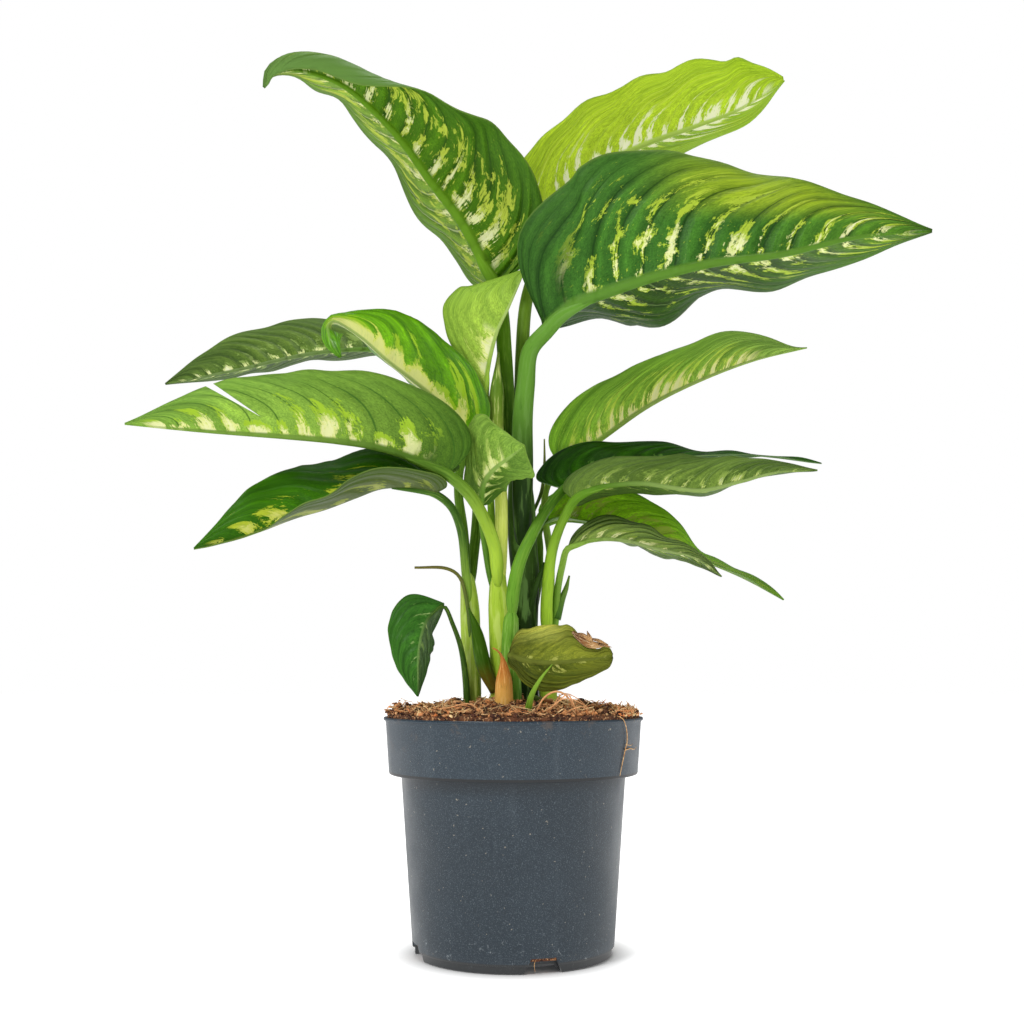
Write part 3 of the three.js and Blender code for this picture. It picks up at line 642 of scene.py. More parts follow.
def applyCut(piece, cutters):
    for cutter in cutters:
        cut = piece.modifiers.new("cut", "BOOLEAN")
        cut.operation = "DIFFERENCE"
        cut.solver = "EXACT"
        cut.object = cutter
    bpy.context.view_layer.update()
    depsgraph = bpy.context.evaluated_depsgraph_get()
    result = bpy.data.meshes.new_from_object(piece.evaluated_get(depsgraph))
    piece.modifiers.clear()
    piece.data = result
    for cutter in cutters:
        bpy.data.objects.remove(cutter)


growLeaf("leaf_top_left", {
    "stalk": [[-2, 6, 310], [-4, 11, 366], [-6, 12, 399], [-8, 12, 425], [-11, 10, 440]],
    "radii": [5, 5, 5, 5, 4.5, 4],
    "rib": [[-13, 10, 441], [-23, 6, 461], [-36, 2, 483], [-55, -5, 506], [-73, -15, 528], [-92, -25, 545],
        [-107, -32, 555], [-124, -38, 560], [-140, -42, 561], [-151, -46, 556], [-155, -47, 548]],
    "ribRadius": 3.6,
    "upper": {"width": 58, "lean": [0, 0, 0, -10, -30], "bend": [-10, -30, -100, -190, -190],
        "trim": [1, 1, 1, 1, 1, 1.1, 1.3, 1.9, 3]},
    "lower": {"width": 60, "lean": [80, 80, 85, 90, 90], "trim": [1, 1, 1, 1, 1, 1, 0.95, 0.5, 0.4]},
    "veinGap": 14, "pucker": 0.5, "wave": 2, "stalkLook": {"low": (60, 96, 20), "high": (104, 150, 30)},
    "look": {"upper": (76, 124, 14), "lower": (118, 158, 44), "edge": (80, 128, 42), "rib": (104, 152, 26),
        "tip": (124, 158, 84), "tipStart": 0.62, "cream": 0.42, "lime": 0.58, "reach": 0.72,
        "creamTone": (234, 240, 164), "limeTone": (196, 214, 74), "vein": (40, 78, 14), "veinAmount": 0.6,
        "furrowShading": 0.75, "bump": 0.8, "lowerVein": (222, 232, 170), "back": (104, 144, 66),
        "backAmount": 0.85, "core": 0.12, "fine": 1.05, "deepTone": (248, 250, 206)},
})

growLeaf("leaf_top_back", {
    "stalk": [[5, 14, 315], [5, 18, 367], [6, 22, 402], [9, 28, 437], [18, 32, 469]],
    "radii": [4.5, 4.5, 4.5, 4, 3.5],
    "rib": [[18, 32, 469], [28, 38, 500], [53, 44, 530], [89, 46, 549], [126, 42, 561], [155, 30, 568],
        [179, 5, 576]],
    "ribRadius": 2.6,
    "upper": {"width": 45, "lean": -10, "trim": [0.9, 0.88, 1.08, 1.65, 2.6]}, "margin": 0.12,
    "lower": {"width": 46, "lean": [90, 85, 80, 80]}, "wave": 2.5,
    "stalkLook": {"low": (36, 62, 10), "high": (130, 170, 50)}, "veinLean": 9,
    "look": {"upper": (188, 218, 50), "lower": (140, 180, 40), "edge": (160, 196, 40),
        "rib": (176, 204, 90), "cream": 0.6, "reach": 0.85, "creamTone": (250, 252, 206),
        "limeTone": (196, 222, 60), "vein": (186, 214, 90), "veinAmount": 0.35, "furrowShading": 0.2, "bump": 0.3,
        "back": (150, 184, 70), "core": 0.25, "fine": 0.9, "cloudy": 0.3, "tip": (164, 204, 40)},
})

growLeaf("leaf_top_right", {
    "stalk": [[6, 4, 262], [6, -4, 290], [6, -8, 316], [6, -8, 349], [8, -9, 371], [11, -12, 393],
        [21, -17, 404]],
    "radii": [5, 6.5, 7, 6.5, 5.5, 5, 4.8],
    "rib": [[21, -17, 405], [39, -26, 418], [56, -33, 423], [82, -40, 430], [107, -46, 435],
        [125, -49, 438], [167, -54, 442], [211, -58, 451], [257, -58, 455]],
    "ribRadius": 3.8, "sweep": [0.1, 0.1, 0.15, 0.2, 0.3],
    "upper": {"width": 82, "lean": [-10, -5, 12, 5, 20], "trim": [1, 1, 0.96, 0.9, 0.85, 0.75, 0.8]},
    "lower": {"width": 68, "lean": [85, 81, 76, 88, 87, 82, 78, 76, 76]}, "veinGap": 18, "veinLean": 3.8,
    "pucker": 0.5, "wave": 2,
    "stalkLook": {"low": (34, 58, 18), "high": (98, 146, 50), "shade": 0.65, "streak": (124, 164, 84),
        "stripes": 2, "runEnd": 0.55, "runStart": 0.22},
    "look": {"upper": (60, 112, 36), "lower": (48, 82, 17), "edge": (72, 118, 44), "tip": (104, 154, 36),
        "rib": (96, 142, 44), "cream": 0.44, "lime": 0.42, "reach": 0.9, "creamTone": (238, 244, 166),
        "limeTone": (182, 208, 62), "vein": (22, 58, 12), "veinAmount": 0.7, "furrowShading": 0.8, "bump": 0.9,
        "roughness": 0.4, "root": (50, 94, 30), "rootReach": 0.25, "glow": (164, 190, 40),
        "glowAt": (0.6, 0.78, 0.34, 0.75), "lowerVein": (120, 150, 84), "core": 0.04, "fine": 0.75,
        "start": 0.07},
})

growLeaf("leaf_left_back", {
    "stalk": [[-29, 2, 236], [-24, 20, 300], [-28, 34, 350], [-39, 42, 382], [-53, 46, 399],
        [-71, 48, 407]],
    "radii": [3.5, 3.5, 3.5, 3, 2.6],
    "rib": [[-71, 48, 407], [-102, 54, 410], [-129, 56, 409], [-157, 58, 405], [-191, 58, 397],
        [-220, 57, 391], [-244, 56, 386]],
    "upper": {"width": 42, "lean": [50, 45, 32, 8, 0]},
    "lower": {"width": 36, "lean": [95, 95, 95, 92, 90]},
    "look": {"upper": (94, 124, 44), "lower": (70, 96, 42), "edge": (92, 122, 60), "rib": (120, 146, 82),
        "lime": 0.5, "reach": 0.5, "creamTone": (234, 242, 160), "limeTone": (140, 168, 80),
        "vein": (56, 84, 34), "veinAmount": 0.5, "furrowShading": 0.5, "bump": 0.9, "core": 0.1, "fine": 0.7},
})

growLeaf("leaf_left_curled", {
    "stalk": [[-30, 0, 240], [-33, 0, 278], [-36, -2, 301], [-35, -4, 318], [-30, -3, 331]],
    "radii": [3.2, 3.2, 3, 2.8, 2.6],
    "rib": [[-30, -3, 331], [-38, -3, 346], [-51, -7, 361], [-66, -12, 373], [-82, -16, 385],
        [-97, -20, 398], [-108, -25, 405], [-114, -30, 407], [-117, -35, 403], [-116, -39, 396],
        [-113, -42, 389], [-108, -43, 381]],
    "ribRadius": 2, "sweep": [0.05, 0.1, 0.1, 0, -0.1], "shows": "upper",
    "upper": {"width": 38, "lean": [-25, -20, -10, 0, 0, 0, 10, 10, 0], "bend": [0, 10, 20, 30, 20],
        "trim": [1, 0.9, 0.87, 0.9, 0.97, 1.05, 1.08, 0.72, 0.3, 0.6, 1]},
    "lower": {"width": 36, "lean": [95, 95, 95, 95, 95, 95, 90, 30, 0],
        "trim": [1, 1, 1, 1, 1, 1, 0.6, 1, 1]},
    "veinGap": 18,
    "look": {"upper": (107, 172, 15), "lower": (84, 140, 34), "edge": (98, 166, 12), "rib": (150, 186, 90),
        "cream": 1.1, "lime": 0.2, "reach": 0.85, "creamTone": (232, 242, 108), "limeTone": (170, 212, 44),
        "vein": (44, 118, 8), "veinAmount": 0.35, "roughness": 0.3, "specular": 0.3, "core": 0.7,
        "fine": 0.35, "finish": 0.86, "deepTone": (246, 248, 168), "deepAmount": 0.6, "cloudy": 1.0,
        "mottle": 0.5},
})

growLeaf("leaf_left_long", {
    "stalk": [[-10, -10, 240], [-12, -20, 264], [-19, -34, 282], [-28, -42, 296], [-41, -48, 307]],
    "radii": [4.5, 4.2, 4, 3.6, 3.2],
    "rib": [[-41, -48, 307], [-63, -52, 316], [-84, -56, 322], [-107, -60, 325], [-136, -64, 327],
        [-187, -68, 330], [-235, -70, 334]],
    "ribRadius": 2.4, "sweep": [-0.7, 0, 0.12, 0.2, 0.3],
    "upper": {"width": 46, "lean": [0, -5, -5, 0, 0], "bend": [20, 20, 15, 10, 0],
        "trim": [1, 1, 1, 1.15, 1]},
    "lower": {"width": 42, "lean": 120},
    "slit": {"corners": [[-199, 371], [-204, 367.5], [-153.5, 339.5]], "front": -100, "back": -58},
    "stalkLook": {"low": (174, 208, 64), "high": (86, 124, 36), "runEnd": 0.75, "shade": 0.6},
    "veinGap": 15,
    "look": {"upper": (146, 188, 72), "lower": (100, 140, 50), "edge": (116, 164, 62),
        "rib": (120, 156, 60), "cream": 0.72, "creamTone": (230, 236, 146), "limeTone": (168, 206, 52),
        "vein": (58, 104, 30), "veinAmount": 0.8, "furrowShading": 0.2, "bump": 0.45, "roughness": 0.48,
        "root": (50, 92, 14), "rootReach": 0.5, "core": 0.2, "fine": 0.75, "rootAmount": 0.85,
        "deepTone": (244, 246, 190), "start": 0.06},
})

growLeaf("leaf_left_folded", {
    "stalk": [[-29, -3, 225], [-31, -8, 248], [-34, -18, 276], [-40, -27, 290], [-50, -35, 297]],
    "radii": [3, 2.8, 2.6, 2.5, 2.3],
    "rib": [[-50, -35, 297], [-64, -41, 299], [-82, -46, 298], [-97, -50, 292], [-116, -55, 284],
        [-132, -58, 279], [-152, -62, 271], [-169, -64, 265], [-194, -66, 259]],
    "sweep": [-0.6, 0, 0.12, 0.2, 0.3], "upper": {"width": 44, "lean": [55, 42, 28, 0, -8]},
    "lower": {"width": 30, "lean": [-108, -106, -98, -82, -80]}, "wave": 1.2,
    "stalkLook": {"low": (142, 180, 66), "high": (66, 104, 34), "shade": 0.7, "runEnd": 0.5}, "veinGap": 20,
    "look": {"upper": (62, 122, 10), "lower": (90, 106, 56), "edge": (54, 110, 10), "rib": (120, 140, 50),
        "cream": 0.62, "lime": 0.36, "creamTone": (232, 238, 104), "limeTone": (204, 220, 60),
        "vein": (34, 80, 6), "furrowShading": 0.1, "bump": 0.5, "roughness": 0.4, "core": 0.05, "fine": 0.4,
        "back": (78, 96, 44), "backAmount": 0.65, "deepTone": (244, 246, 150)},
})

growLeaf("leaf_small_left", {
    "stalk": [[-30, -8, 130], [-30, -8, 156], [-31, -10, 179], [-34, -14, 200], [-39, -20, 215],
        [-44, -26, 226]],
    "radii": [2.4, 2.4, 2.2, 1.8, 1.4, 1.2],
    "rib": [[-44, -26, 228], [-54, -32, 218], [-59, -38, 201], [-60, -40, 169]], "ribRadius": 0.8,
    "shows": "upper", "sweep": [0.35, 0.25, 0.15, 0.2, 0.3], "upper": {"width": 22, "lean": 0},
    "lower": {"width": 17, "lean": 60}, "stalkLook": {"low": (58, 92, 26), "high": (60, 92, 30)},
    "look": {"upper": (60, 116, 36), "lower": (92, 120, 82), "edge": (56, 108, 30), "rib": (122, 158, 84),
        "cream": 0.1, "lime": 0.1, "reach": 0.4, "creamTone": (170, 196, 120), "limeTone": (130, 166, 90),
        "vein": (70, 112, 46), "furrowShading": 0.3, "roughness": 0.38, "cloudy": 0.4, "mottle": 0.4},
    "wave": 0,
})

growLeaf("leaf_young_upright", {
    "stalk": [[-13, -2, 245], [-15, 6, 298], [-17, 4, 338], [-18, 0, 369]], "radii": [2.6, 2.4, 2.2, 2],
    "rib": [[-18, 0, 369], [-16, -5, 384], [-10, -12, 406], [-4, -14, 418], [8, -12, 446]],
    "ribRadius": 1.4,
    "upper": {"width": 34, "lean": 10, "trim": [0.4, 0.8, 1.35, 1.2, 1]},
    "lower": {"width": 30, "lean": 110, "trim": [0.4, 0.6, 1, 1, 1]},
    "stalkLook": {"low": (120, 166, 44), "high": (164, 202, 70)}, "veinGap": 14,
    "look": {"upper": (154, 190, 70), "lower": (140, 180, 60), "edge": (140, 184, 56),
        "rib": (176, 204, 110), "cream": 1.1, "lime": 0.1, "reach": 0.7, "creamTone": (238, 246, 150),
        "limeTone": (196, 220, 100), "vein": (128, 172, 54), "furrowShading": 0.25, "bump": 0.35,
        "roughness": 0.45, "back": (166, 196, 90), "core": 0.55, "finish": 0.5, "fine": 0.7, "mottle": 0.25,
        "cloudy": 0.35, "deepTone": (250, 252, 204)},
    "wave": 0,
})

growLeaf("leaf_young_centre", {
    "stalk": [[-14, -6, 238], [-18, -12, 264], [-20, -17, 277], [-21, -20, 290]],
    "radii": [2.2, 2.2, 2, 1.8],
    "rib": [[-21, -20, 291], [-19, -28, 304], [-12, -38, 312], [-2, -48, 318], [7, -54, 324]],
    "ribRadius": 1.4, "sweep": 0,
    "upper": {"width": 36, "lean": 10,
        "trim": [0.3, 0.3, 0.35, 0.42, 0.64, 0.99, 1.34, 1.48, 1.58, 1.7, 1.2]},
    "lower": {"width": 24, "lean": 10, "trim": [0.5, 0.48, 0.56, 0.6, 0.65, 0.62, 0.69, 0.94, 1.6, 3.2, 1]},
    "stalkLook": {"low": (84, 130, 40), "high": (110, 156, 50)}, "veinGap": 8, "sharp": True,
    "look": {"upper": (140, 180, 70), "lower": (84, 124, 36), "edge": (136, 176, 70), "rib": (150, 184, 90),
        "cream": 0.7, "lime": 0.4, "reach": 0.7, "creamTone": (222, 234, 138), "limeTone": (178, 204, 96),
        "vein": (84, 128, 40), "veinAmount": 0.6, "furrowShading": 0.08, "back": (166, 196, 90), "core": 0.3,
        "finish": 0.75, "fine": 1.2, "root": (62, 104, 22), "rootReach": 0.75, "threads": 0.03,
        "mottle": 0.35, "deepTone": (238, 244, 176)},
    "wave": 0,
})

growLeaf("leaf_right_high", {
    "stalk": [[23, 4, 206], [25, 14, 259], [21, 20, 292], [23, 27, 310], [33, 32, 324]],
    "radii": [2.6, 2.6, 2.4, 2.2, 2], "sweep": [-0.25, 0.05, 0.12, 0.2, 0.3],
    "rib": [[33, 32, 324], [59, 39, 343], [94, 43, 368], [128, 43, 385], [166, 41, 399], [202, 38, 407]],
    "upper": {"width": 36, "lean": 0, "bend": [10, 20, 20, 0],
        "trim": [1, 1, 0.97, 0.9, 0.93, 1.08, 1.33, 1.15, 0.5]},
    "lower": {"width": 34, "lean": 110},
    "stalkLook": {"low": (132, 168, 66), "high": (140, 180, 60)}, "veinGap": 9, "veinLean": 10,
    "look": {"upper": (150, 200, 68), "lower": (104, 150, 40), "edge": (104, 154, 42),
        "rib": (164, 192, 100), "cream": 0.8, "lime": 0.45, "reach": 0.7, "creamTone": (252, 254, 142),
        "limeTone": (206, 234, 84), "vein": (84, 138, 22), "veinAmount": 0.5, "furrowShading": 0.16,
        "roughness": 0.45, "core": 0.24, "fine": 1.3, "tip": (170, 202, 108), "root": (132, 190, 42),
        "rootReach": 0.35, "edgeAmount": 0.6, "deepTone": (255, 255, 196), "finish": 0.86, "cloudy": 0.7},
})

growLeaf("leaf_right_dark", {
    "stalk": [[-1, -22, 218], [0, -22, 237], [4, -20, 255], [11, -16, 271], [21, -10, 289], [33, -4, 304]],
    "radii": [4.4, 4.2, 3.8, 3.4, 3, 2.8], "sweep": [-0.8, -0.1, 0.12, 0.2, 0.3],
    "rib": [[33, -4, 304], [51, 4, 315], [78, 10, 323], [118, 16, 328], [159, 20, 330], [208, 22, 325]],
    "ribRadius": 1.9,
    "upper": {"width": 36, "lean": [30, 42, 50, 58, 65, 74, 76, 72, 60],
        "trim": [1, 1, 1, 1, 1, 1, 1, 1.3, 1.6]},
    "lower": {"width": 30, "lean": [-60, -70, -80, -80], "trim": [0.5, 1, 1, 1, 1, 1]},
    "stalkLook": {"low": (106, 156, 46), "high": (64, 106, 20), "shade": 0.6}, "veinGap": 14,
    "look": {"upper": (36, 82, 0), "lower": (64, 108, 44), "edge": (40, 90, 4), "rib": (122, 150, 96),
        "cream": 0.0, "lime": 0.0, "reach": 0.4, "creamTone": (140, 170, 90), "limeTone": (90, 130, 50),
        "vein": (60, 96, 36), "furrowShading": 0.9, "bump": 0.5, "roughness": 0.35, "rim": (140, 170, 120),
        "specular": 0.02, "mottle": 0.6, "cloudy": 0.8},
})

growLeaf("leaf_right_front", {
    "stalk": [[22, 0, 205], [22, -2, 233], [25, -8, 262], [30, -16, 278], [34, -20, 286], [39, -26, 294]],
    "radii": [4.2, 4, 3.6, 3.2, 3, 2.6],
    "rib": [[39, -26, 294], [50, -32, 300], [65, -38, 302], [82, -43, 302], [99, -46, 299], [117, -48, 297],
        [140, -50, 302], [164, -51, 308], [188, -52, 309]],
    "sweep": [-0.8, -0.1, 0.12, 0.2, 0.3], "upper": {"width": 34, "lean": [45, 50, 35, 38, 55]},
    "lower": {"width": 30, "lean": [80, 86, 90, 92, 90]}, "wave": 0.8,
    "stalkLook": {"low": (170, 212, 58), "high": (88, 132, 30), "shade": 0.5}, "veinGap": 12,
    "look": {"upper": (114, 144, 60), "lower": (84, 116, 44), "edge": (92, 122, 54), "rib": (150, 176, 96),
        "cream": 0.45, "lime": 0.45, "reach": 0.55, "creamTone": (196, 214, 108),
        "limeTone": (150, 178, 80), "vein": (150, 178, 104), "veinAmount": 0.35, "bump": 0.5, "core": 0.05,
        "fine": 1.0, "cloudy": 0.6},
})

growLeaf("leaf_right_low_back", {
    "stalk": [[12, 10, 215], [17, 16, 245], [18, 20, 268], [18, 20, 280]], "radii": [2.4, 2.4, 2.2, 2],
    "rib": [[19, 20, 282], [29, 19, 286], [58, 17, 283], [92, 15, 272], [121, 13, 261], [153, 10, 247],
        [179, 6, 232]],
    "ribRadius": 1.5, "shows": "upper",
    "upper": {"width": 34, "lean": [30, 25, 24, 26, 36, 70, 72, 60, 55],
        "trim": [1, 1, 1, 0.93, 0.85, 0.9, 1.1, 1.3, 1.6]},
    "lower": {"width": 20, "lean": -90}, "wave": 1.2,
    "look": {"upper": (172, 232, 44), "lower": (100, 146, 50), "edge": (90, 156, 26), "rib": (140, 172, 84),
        "cream": 0.5, "lime": 0.62, "creamTone": (190, 206, 110), "limeTone": (172, 198, 70),
        "vein": (60, 118, 14), "furrowShading": 0.25, "bump": 0.45, "roughness": 0.4, "fine": 0.6, "mottle": 0.5,
        "tip": (84, 136, 44), "tipStart": 0.5, "tipAmount": 0.6},
})

growLeaf("leaf_right_low_front", {
    "stalk": [[27, 3, 205], [29, 2, 237], [32, -6, 254], [35, -14, 264]], "radii": [2.6, 2.4, 2.2, 2],
    "rib": [[35, -14, 264], [47, -20, 268], [59, -26, 269], [73, -32, 267], [86, -36, 263], [97, -40, 260],
        [110, -42, 257], [118, -43, 253], [130, -44, 244]],
    "ribRadius": 1.5, "upper": {"width": 26, "lean": [50, 50, 60, 60]},
    "lower": {"width": 22, "lean": [95, 95, 86, 76, 70]}, "wave": 1.2,
    "stalkLook": {"low": (120, 164, 56), "high": (132, 168, 66)},
    "look": {"upper": (136, 164, 80), "lower": (98, 132, 46), "edge": (96, 122, 60), "rib": (150, 172, 100),
        "lime": 0.36, "creamTone": (236, 240, 160), "limeTone": (146, 172, 70), "vein": (150, 168, 110),
        "veinAmount": 0.35, "bump": 0.9, "roughness": 0.45, "core": 0.1, "fine": 0.6},
})

growLeaf("leaf_damaged_front", {
    "stalk": [[8, -56, 130], [8.5, -58, 155], [11, -64, 170], [17, -67, 181], [24, -64, 189.5]],
    "stalkEnd": True, "radii": [2, 2.5, 2.2, 1.3, 0.3], "swell": 0,
    "rib": [[-3, -50, 195], [10, -60, 191], [23, -64, 190], [44, -62, 192], [61, -56, 194]],
    "ribRadius": 1.2, "sweep": [-0.3, 0.05, 0.12, 0.2, 0.3],
    "upper": {"width": 24, "lean": 10, "trim": [1.3, 0.95, 0.96, 1.03, 1.1, 1.22, 0.68, 0.9, 3]},
    "lower": {"width": 20, "lean": 10, "trim": [0.6, 0.5, 0.8, 0.93, 0.95, 0.97, 1.1, 1.5, 3]},
    "stalkLook": {"low": (104, 150, 40), "high": (128, 166, 50), "shade": 0.8, "stripes": 2},
    "tears": [
        {"path": [[52, -62, 201.5], [56, -62.5, 200.5], [60, -60.5, 199.5]], "radii": [0.9, 0.9, 0.2]},
        {"path": [[36, -63, 209], [41, -62, 204.5], [48, -62, 201], [58, -60, 201]],
            "radii": [1, 2, 2.6, 1.8, 0.6], "flat": 0.25},
        {"path": [[37, -63, 208], [43, -63.5, 206.5], [47, -63, 203]], "radii": [0.5, 1.4, 0.4]},
        {"path": [[45, -62.5, 209.5], [46, -63, 206], [47, -62, 203]], "radii": [0.2, 1.4, 2]},
        {"path": [[46, -62, 205], [52, -63, 203.5], [57, -62, 201.5]], "radii": [0.5, 1.3, 0.4]},
    ],
    "tearLook": {"low": (104, 50, 22), "high": (214, 160, 100), "streak": (255, 226, 176), "streaks": 0.9,
        "stripes": 9, "shade": 1.0, "roughness": 0.8, "bump": 1.0},
    "veinGap": 17,
    "look": {"upper": (136, 146, 46), "lower": (92, 104, 26), "edge": (124, 132, 40), "rib": (112, 122, 44),
        "cream": 0.0, "lime": 0.25, "reach": 0.4, "creamTone": (170, 170, 90), "limeTone": (176, 180, 84),
        "vein": (92, 104, 26), "veinAmount": 0.1, "furrowShading": 0.1, "bump": 1.0, "roughness": 0.6,
        "back": (120, 128, 60), "rim": (140, 132, 66), "cloudy": 0.9, "rimAmount": 0.0, "mottle": 0.6,
        # its glow patch is a painted highlight on the upper half
        "threads": 0.1, "glow": (182, 188, 84), "glowAt": (0.3, 0.8, 0.4, 0.9), "root": (76, 84, 22),
        "rootReach": 0.45, "rootAmount": 0.75},
    "wave": 0,
})
print("leaves done")


# Canes, with the sheaths of their leaves wrapped round them, and shoots

caneTaper = 8  # length over which the top of a cane draws in


def growStem(name, stem):
    builder = Builder()
    addTube(builder, stem["path"], stem["radii"], stem.get("sides", 24),
            taper=caneTaper if stem["slot"] == "cane" else 0)
    piece = builder.finish(name + "_fine", [stemMaterial(name, stem["look"])])
    settle(piece, name)


growStem("cane_main", {
    "slot": "cane",
    "path": [[9, 8, 126], [9, 8, 166], [8, 8, 206], [8, 8, 245], [6, 8, 272], [5, 8, 299], [4, 8, 322]],
    "radii": [8, 8, 8, 8.5, 9.5, 9.5, 7],
    "look": {"low": (22, 42, 10), "high": (62, 92, 30), "streak": (104, 140, 72), "streaks": 0.7,
        "specks": 0.25, "shade": 1.0, "runStart": 0.3, "stripes": 1.6},
})
growStem("cane_left", {
    "slot": "cane",
    "path": [[-27, 0, 126], [-27, 0, 165], [-28, 0, 205], [-29, 0, 232], [-31, 0, 252]],
    "radii": [6, 6, 6, 6.5, 4.5],
    "look": {"low": (98, 128, 40), "high": (176, 206, 76), "streak": (206, 228, 124), "streaks": 0.8,
        "shade": 1.0, "runEnd": 0.6, "stripes": 2.4},
})
growStem("cane_centre", {
    "slot": "cane",
    "path": [[-9, -6, 126], [-9, -6, 165], [-9, -6, 205], [-10, -6, 244], [-10, -6, 258]],
    "radii": [6, 6, 6.5, 6.9, 4.4],
    "look": {"low": (158, 196, 46), "high": (178, 210, 66), "streak": (214, 234, 120), "streaks": 0.6,
        "stripes": 2.4, "shade": 0.6},
})
growStem("cane_front", {
    "slot": "cane",
    "path": [[-1, -22, 126], [-1, -22, 166], [-2, -22, 205], [-1, -22, 225]], "radii": [6.5, 6.5, 6, 4.8],
    "look": {"low": (84, 134, 24), "high": (110, 162, 50), "streak": (164, 202, 100), "streaks": 0.5,
        "shade": 0.8},
})
growStem("cane_right", {
    "slot": "cane",
    "path": [[23, 2, 126], [23, 2, 166], [22, 2, 192], [23, 2, 215]], "radii": [6, 6, 6, 5],
    "look": {"low": (172, 210, 58), "high": (170, 208, 66), "streak": (206, 228, 110), "streaks": 0.5,
        "shade": 0.9},
})
growStem("stalk_wilted", {
    "slot": "young_shoot",
    "path": [[-28, -4, 199], [-30, -8, 228], [-35, -12, 246], [-43, -18, 251], [-63, -26, 251]],
    "radii": [1.4, 1.3, 1.2, 1.1, 0.8], "sides": 12,
    "look": {"low": (92, 122, 52), "high": (112, 104, 48), "streak": (150, 160, 90), "streaks": 0.3},
})
growStem("sheath_pale", {
    "slot": "young_shoot",
    "path": [[-9, -6, 245], [-8, -8, 264], [-8, -8, 296], [-11, -4, 336], [-11, -2, 363], [-10, 0, 395]],
    "radii": [4, 4.2, 4.2, 5, 5, 0.6],
    "look": {"low": (222, 236, 106), "high": (96, 132, 36), "streak": (236, 244, 150), "streaks": 0.5,
        "specks": 0.05},
})
growStem("sheath_dry", {
    "slot": "dry_sheath",
    "path": [[-6, -36, 150], [-6, -36, 168], [-6, -36, 182], [-6.2, -36, 189], [-7, -36, 193],
        [-9, -37, 197], [-13, -39, 199.5]],
    "radii": [6.2, 6.2, 6, 5.6, 5, 2.8, 0.8, 0.5],
    "look": {"low": (240, 184, 92), "high": (196, 116, 48), "streak": (250, 206, 130), "streaks": 0.6,
        "roughness": 0.7, "runStart": 0.3, "runEnd": 0.75, "stripes": 5, "shade": 0.7},
})
growStem("sheath_spent", {
    "slot": "young_shoot",
    "path": [[-12, -9, 172], [-19, -14, 188], [-24, -14, 211], [-29, -12, 226]], "radii": [3.5, 5, 4, 0.6],
    "look": {"low": (122, 104, 34), "high": (56, 92, 8), "streak": (96, 132, 50), "streaks": 0.35,
        "runEnd": 0.4},
})
growStem("spike_young", {
    "slot": "young_shoot",
    "path": [[12, 10, 288], [19, 20, 306], [21, 24, 324], [21, 24, 342]], "radii": [1.2, 1.2, 1, 0.5],
    "sides": 12,
    "look": {"low": (70, 98, 34), "high": (110, 120, 54), "streaks": 0.2},
})
growStem("shoot_tip_right", {
    "slot": "young_shoot",
    "path": [[29, 2, 219], [32, 4, 232], [35, 4, 240], [37, 3, 248]], "radii": [2.4, 2.4, 1.8, 0.6],
    "look": {"low": (72, 112, 40), "high": (112, 144, 58), "streaks": 0.3},
})
growStem("sheath_dark", {
    "slot": "young_shoot", "path": [[11, 3, 222], [14, -2, 238], [21, -3, 256]], "radii": [2, 2.2, 1.4],
    "look": {"low": (40, 66, 20), "high": (60, 88, 34), "streaks": 0.2},
})
growStem("shoot_bud_soil", {
    "slot": "young_shoot", "path": [[18, -22, 150], [18, -24, 164], [11, -28, 170]], "radii": [4, 3.5, 1],
    "look": {"low": (70, 78, 34), "high": (84, 106, 44), "streaks": 0.2},
})
print("canes and shoots done")


# Soil: a lumpy body, crumbs, straw bits and fibres

def plainMaterial(name, build):
    # build gives the colour, the height of the bumps and the roughness
    material, tree = newMaterial(name)
    base, height, rough = build(put(tree, "ShaderNodeTexCoord", out="Object"))
    skin = addSkin(base, height, 0.5, 0.0012, rough, 0.5)
    place(tree, "ShaderNodeOutputMaterial", {"Surface": skin})
    return material


def soilLook(position):
    base = mixTone(ramp(meshValue(position.tree, "tint"), 0.0, 1.0), (84, 44, 26), (240, 166, 104))
    clods = ramp(grain(position, 260.0, 5.0, 0.7), 0.42, 0.56, 1.0, 0.0)
    base = scaled(clods, base, (0.2, 0.16, 0.14))
    chips = ramp(grain(position, 700.0, 2.0), 0.58, 0.66, 0.0, 0.75)
    return mixTone(chips, base, (226, 176, 124)), grain(position, 620.0, 4.0, 0.7), 0.95


def strawLook(position):
    threads = grain(position, 420.0, 4.0, 0.6)
    base = mixTone(meshValue(position.tree, "tint"), (224, 132, 70), (255, 224, 164))
    return scaled(ramp(threads, 0.5, 0.7, 0.0, 0.35), base, (0.5, 0.4, 0.34)), threads, 0.75


def rootLook(position):
    threads = grain(position, 700.0, 4.0, 0.6)
    return mixTone(ramp(threads, 0.35, 0.65), (196, 138, 78), (248, 204, 144)), threads, 0.6


soilTop, soilEdge = 164, 157  # heights in the middle and at the wall
soilRadius, domeRadius = 82.65, 83
rimLevel, heapLevel = 156.5, 156.2  # the lowest that fibres and heaps lie


def soilHeight(x, y):
    r = math.hypot(x, y) / domeRadius
    dome = soilTop + (soilEdge - soilTop) * r * r
    lumps = math.sin(x * 0.21 + 1) * math.cos(y * 0.17) + 0.6 * math.sin(x * 0.47 + y * 0.39)
    rough = noise.fractal(Vector((x * 0.09, y * 0.09, 3.1)), 1.0, 2.2, 4) * 1.6
    return dome + 2.2 * lumps * (1 - r ** 4) + rough * (1 - r ** 8)


def groundLevel(x, y):
    # the soil, or the pot's rim beyond it
    return soilHeight(x, y) if math.hypot(x, y) < soilRadius else rimLevel


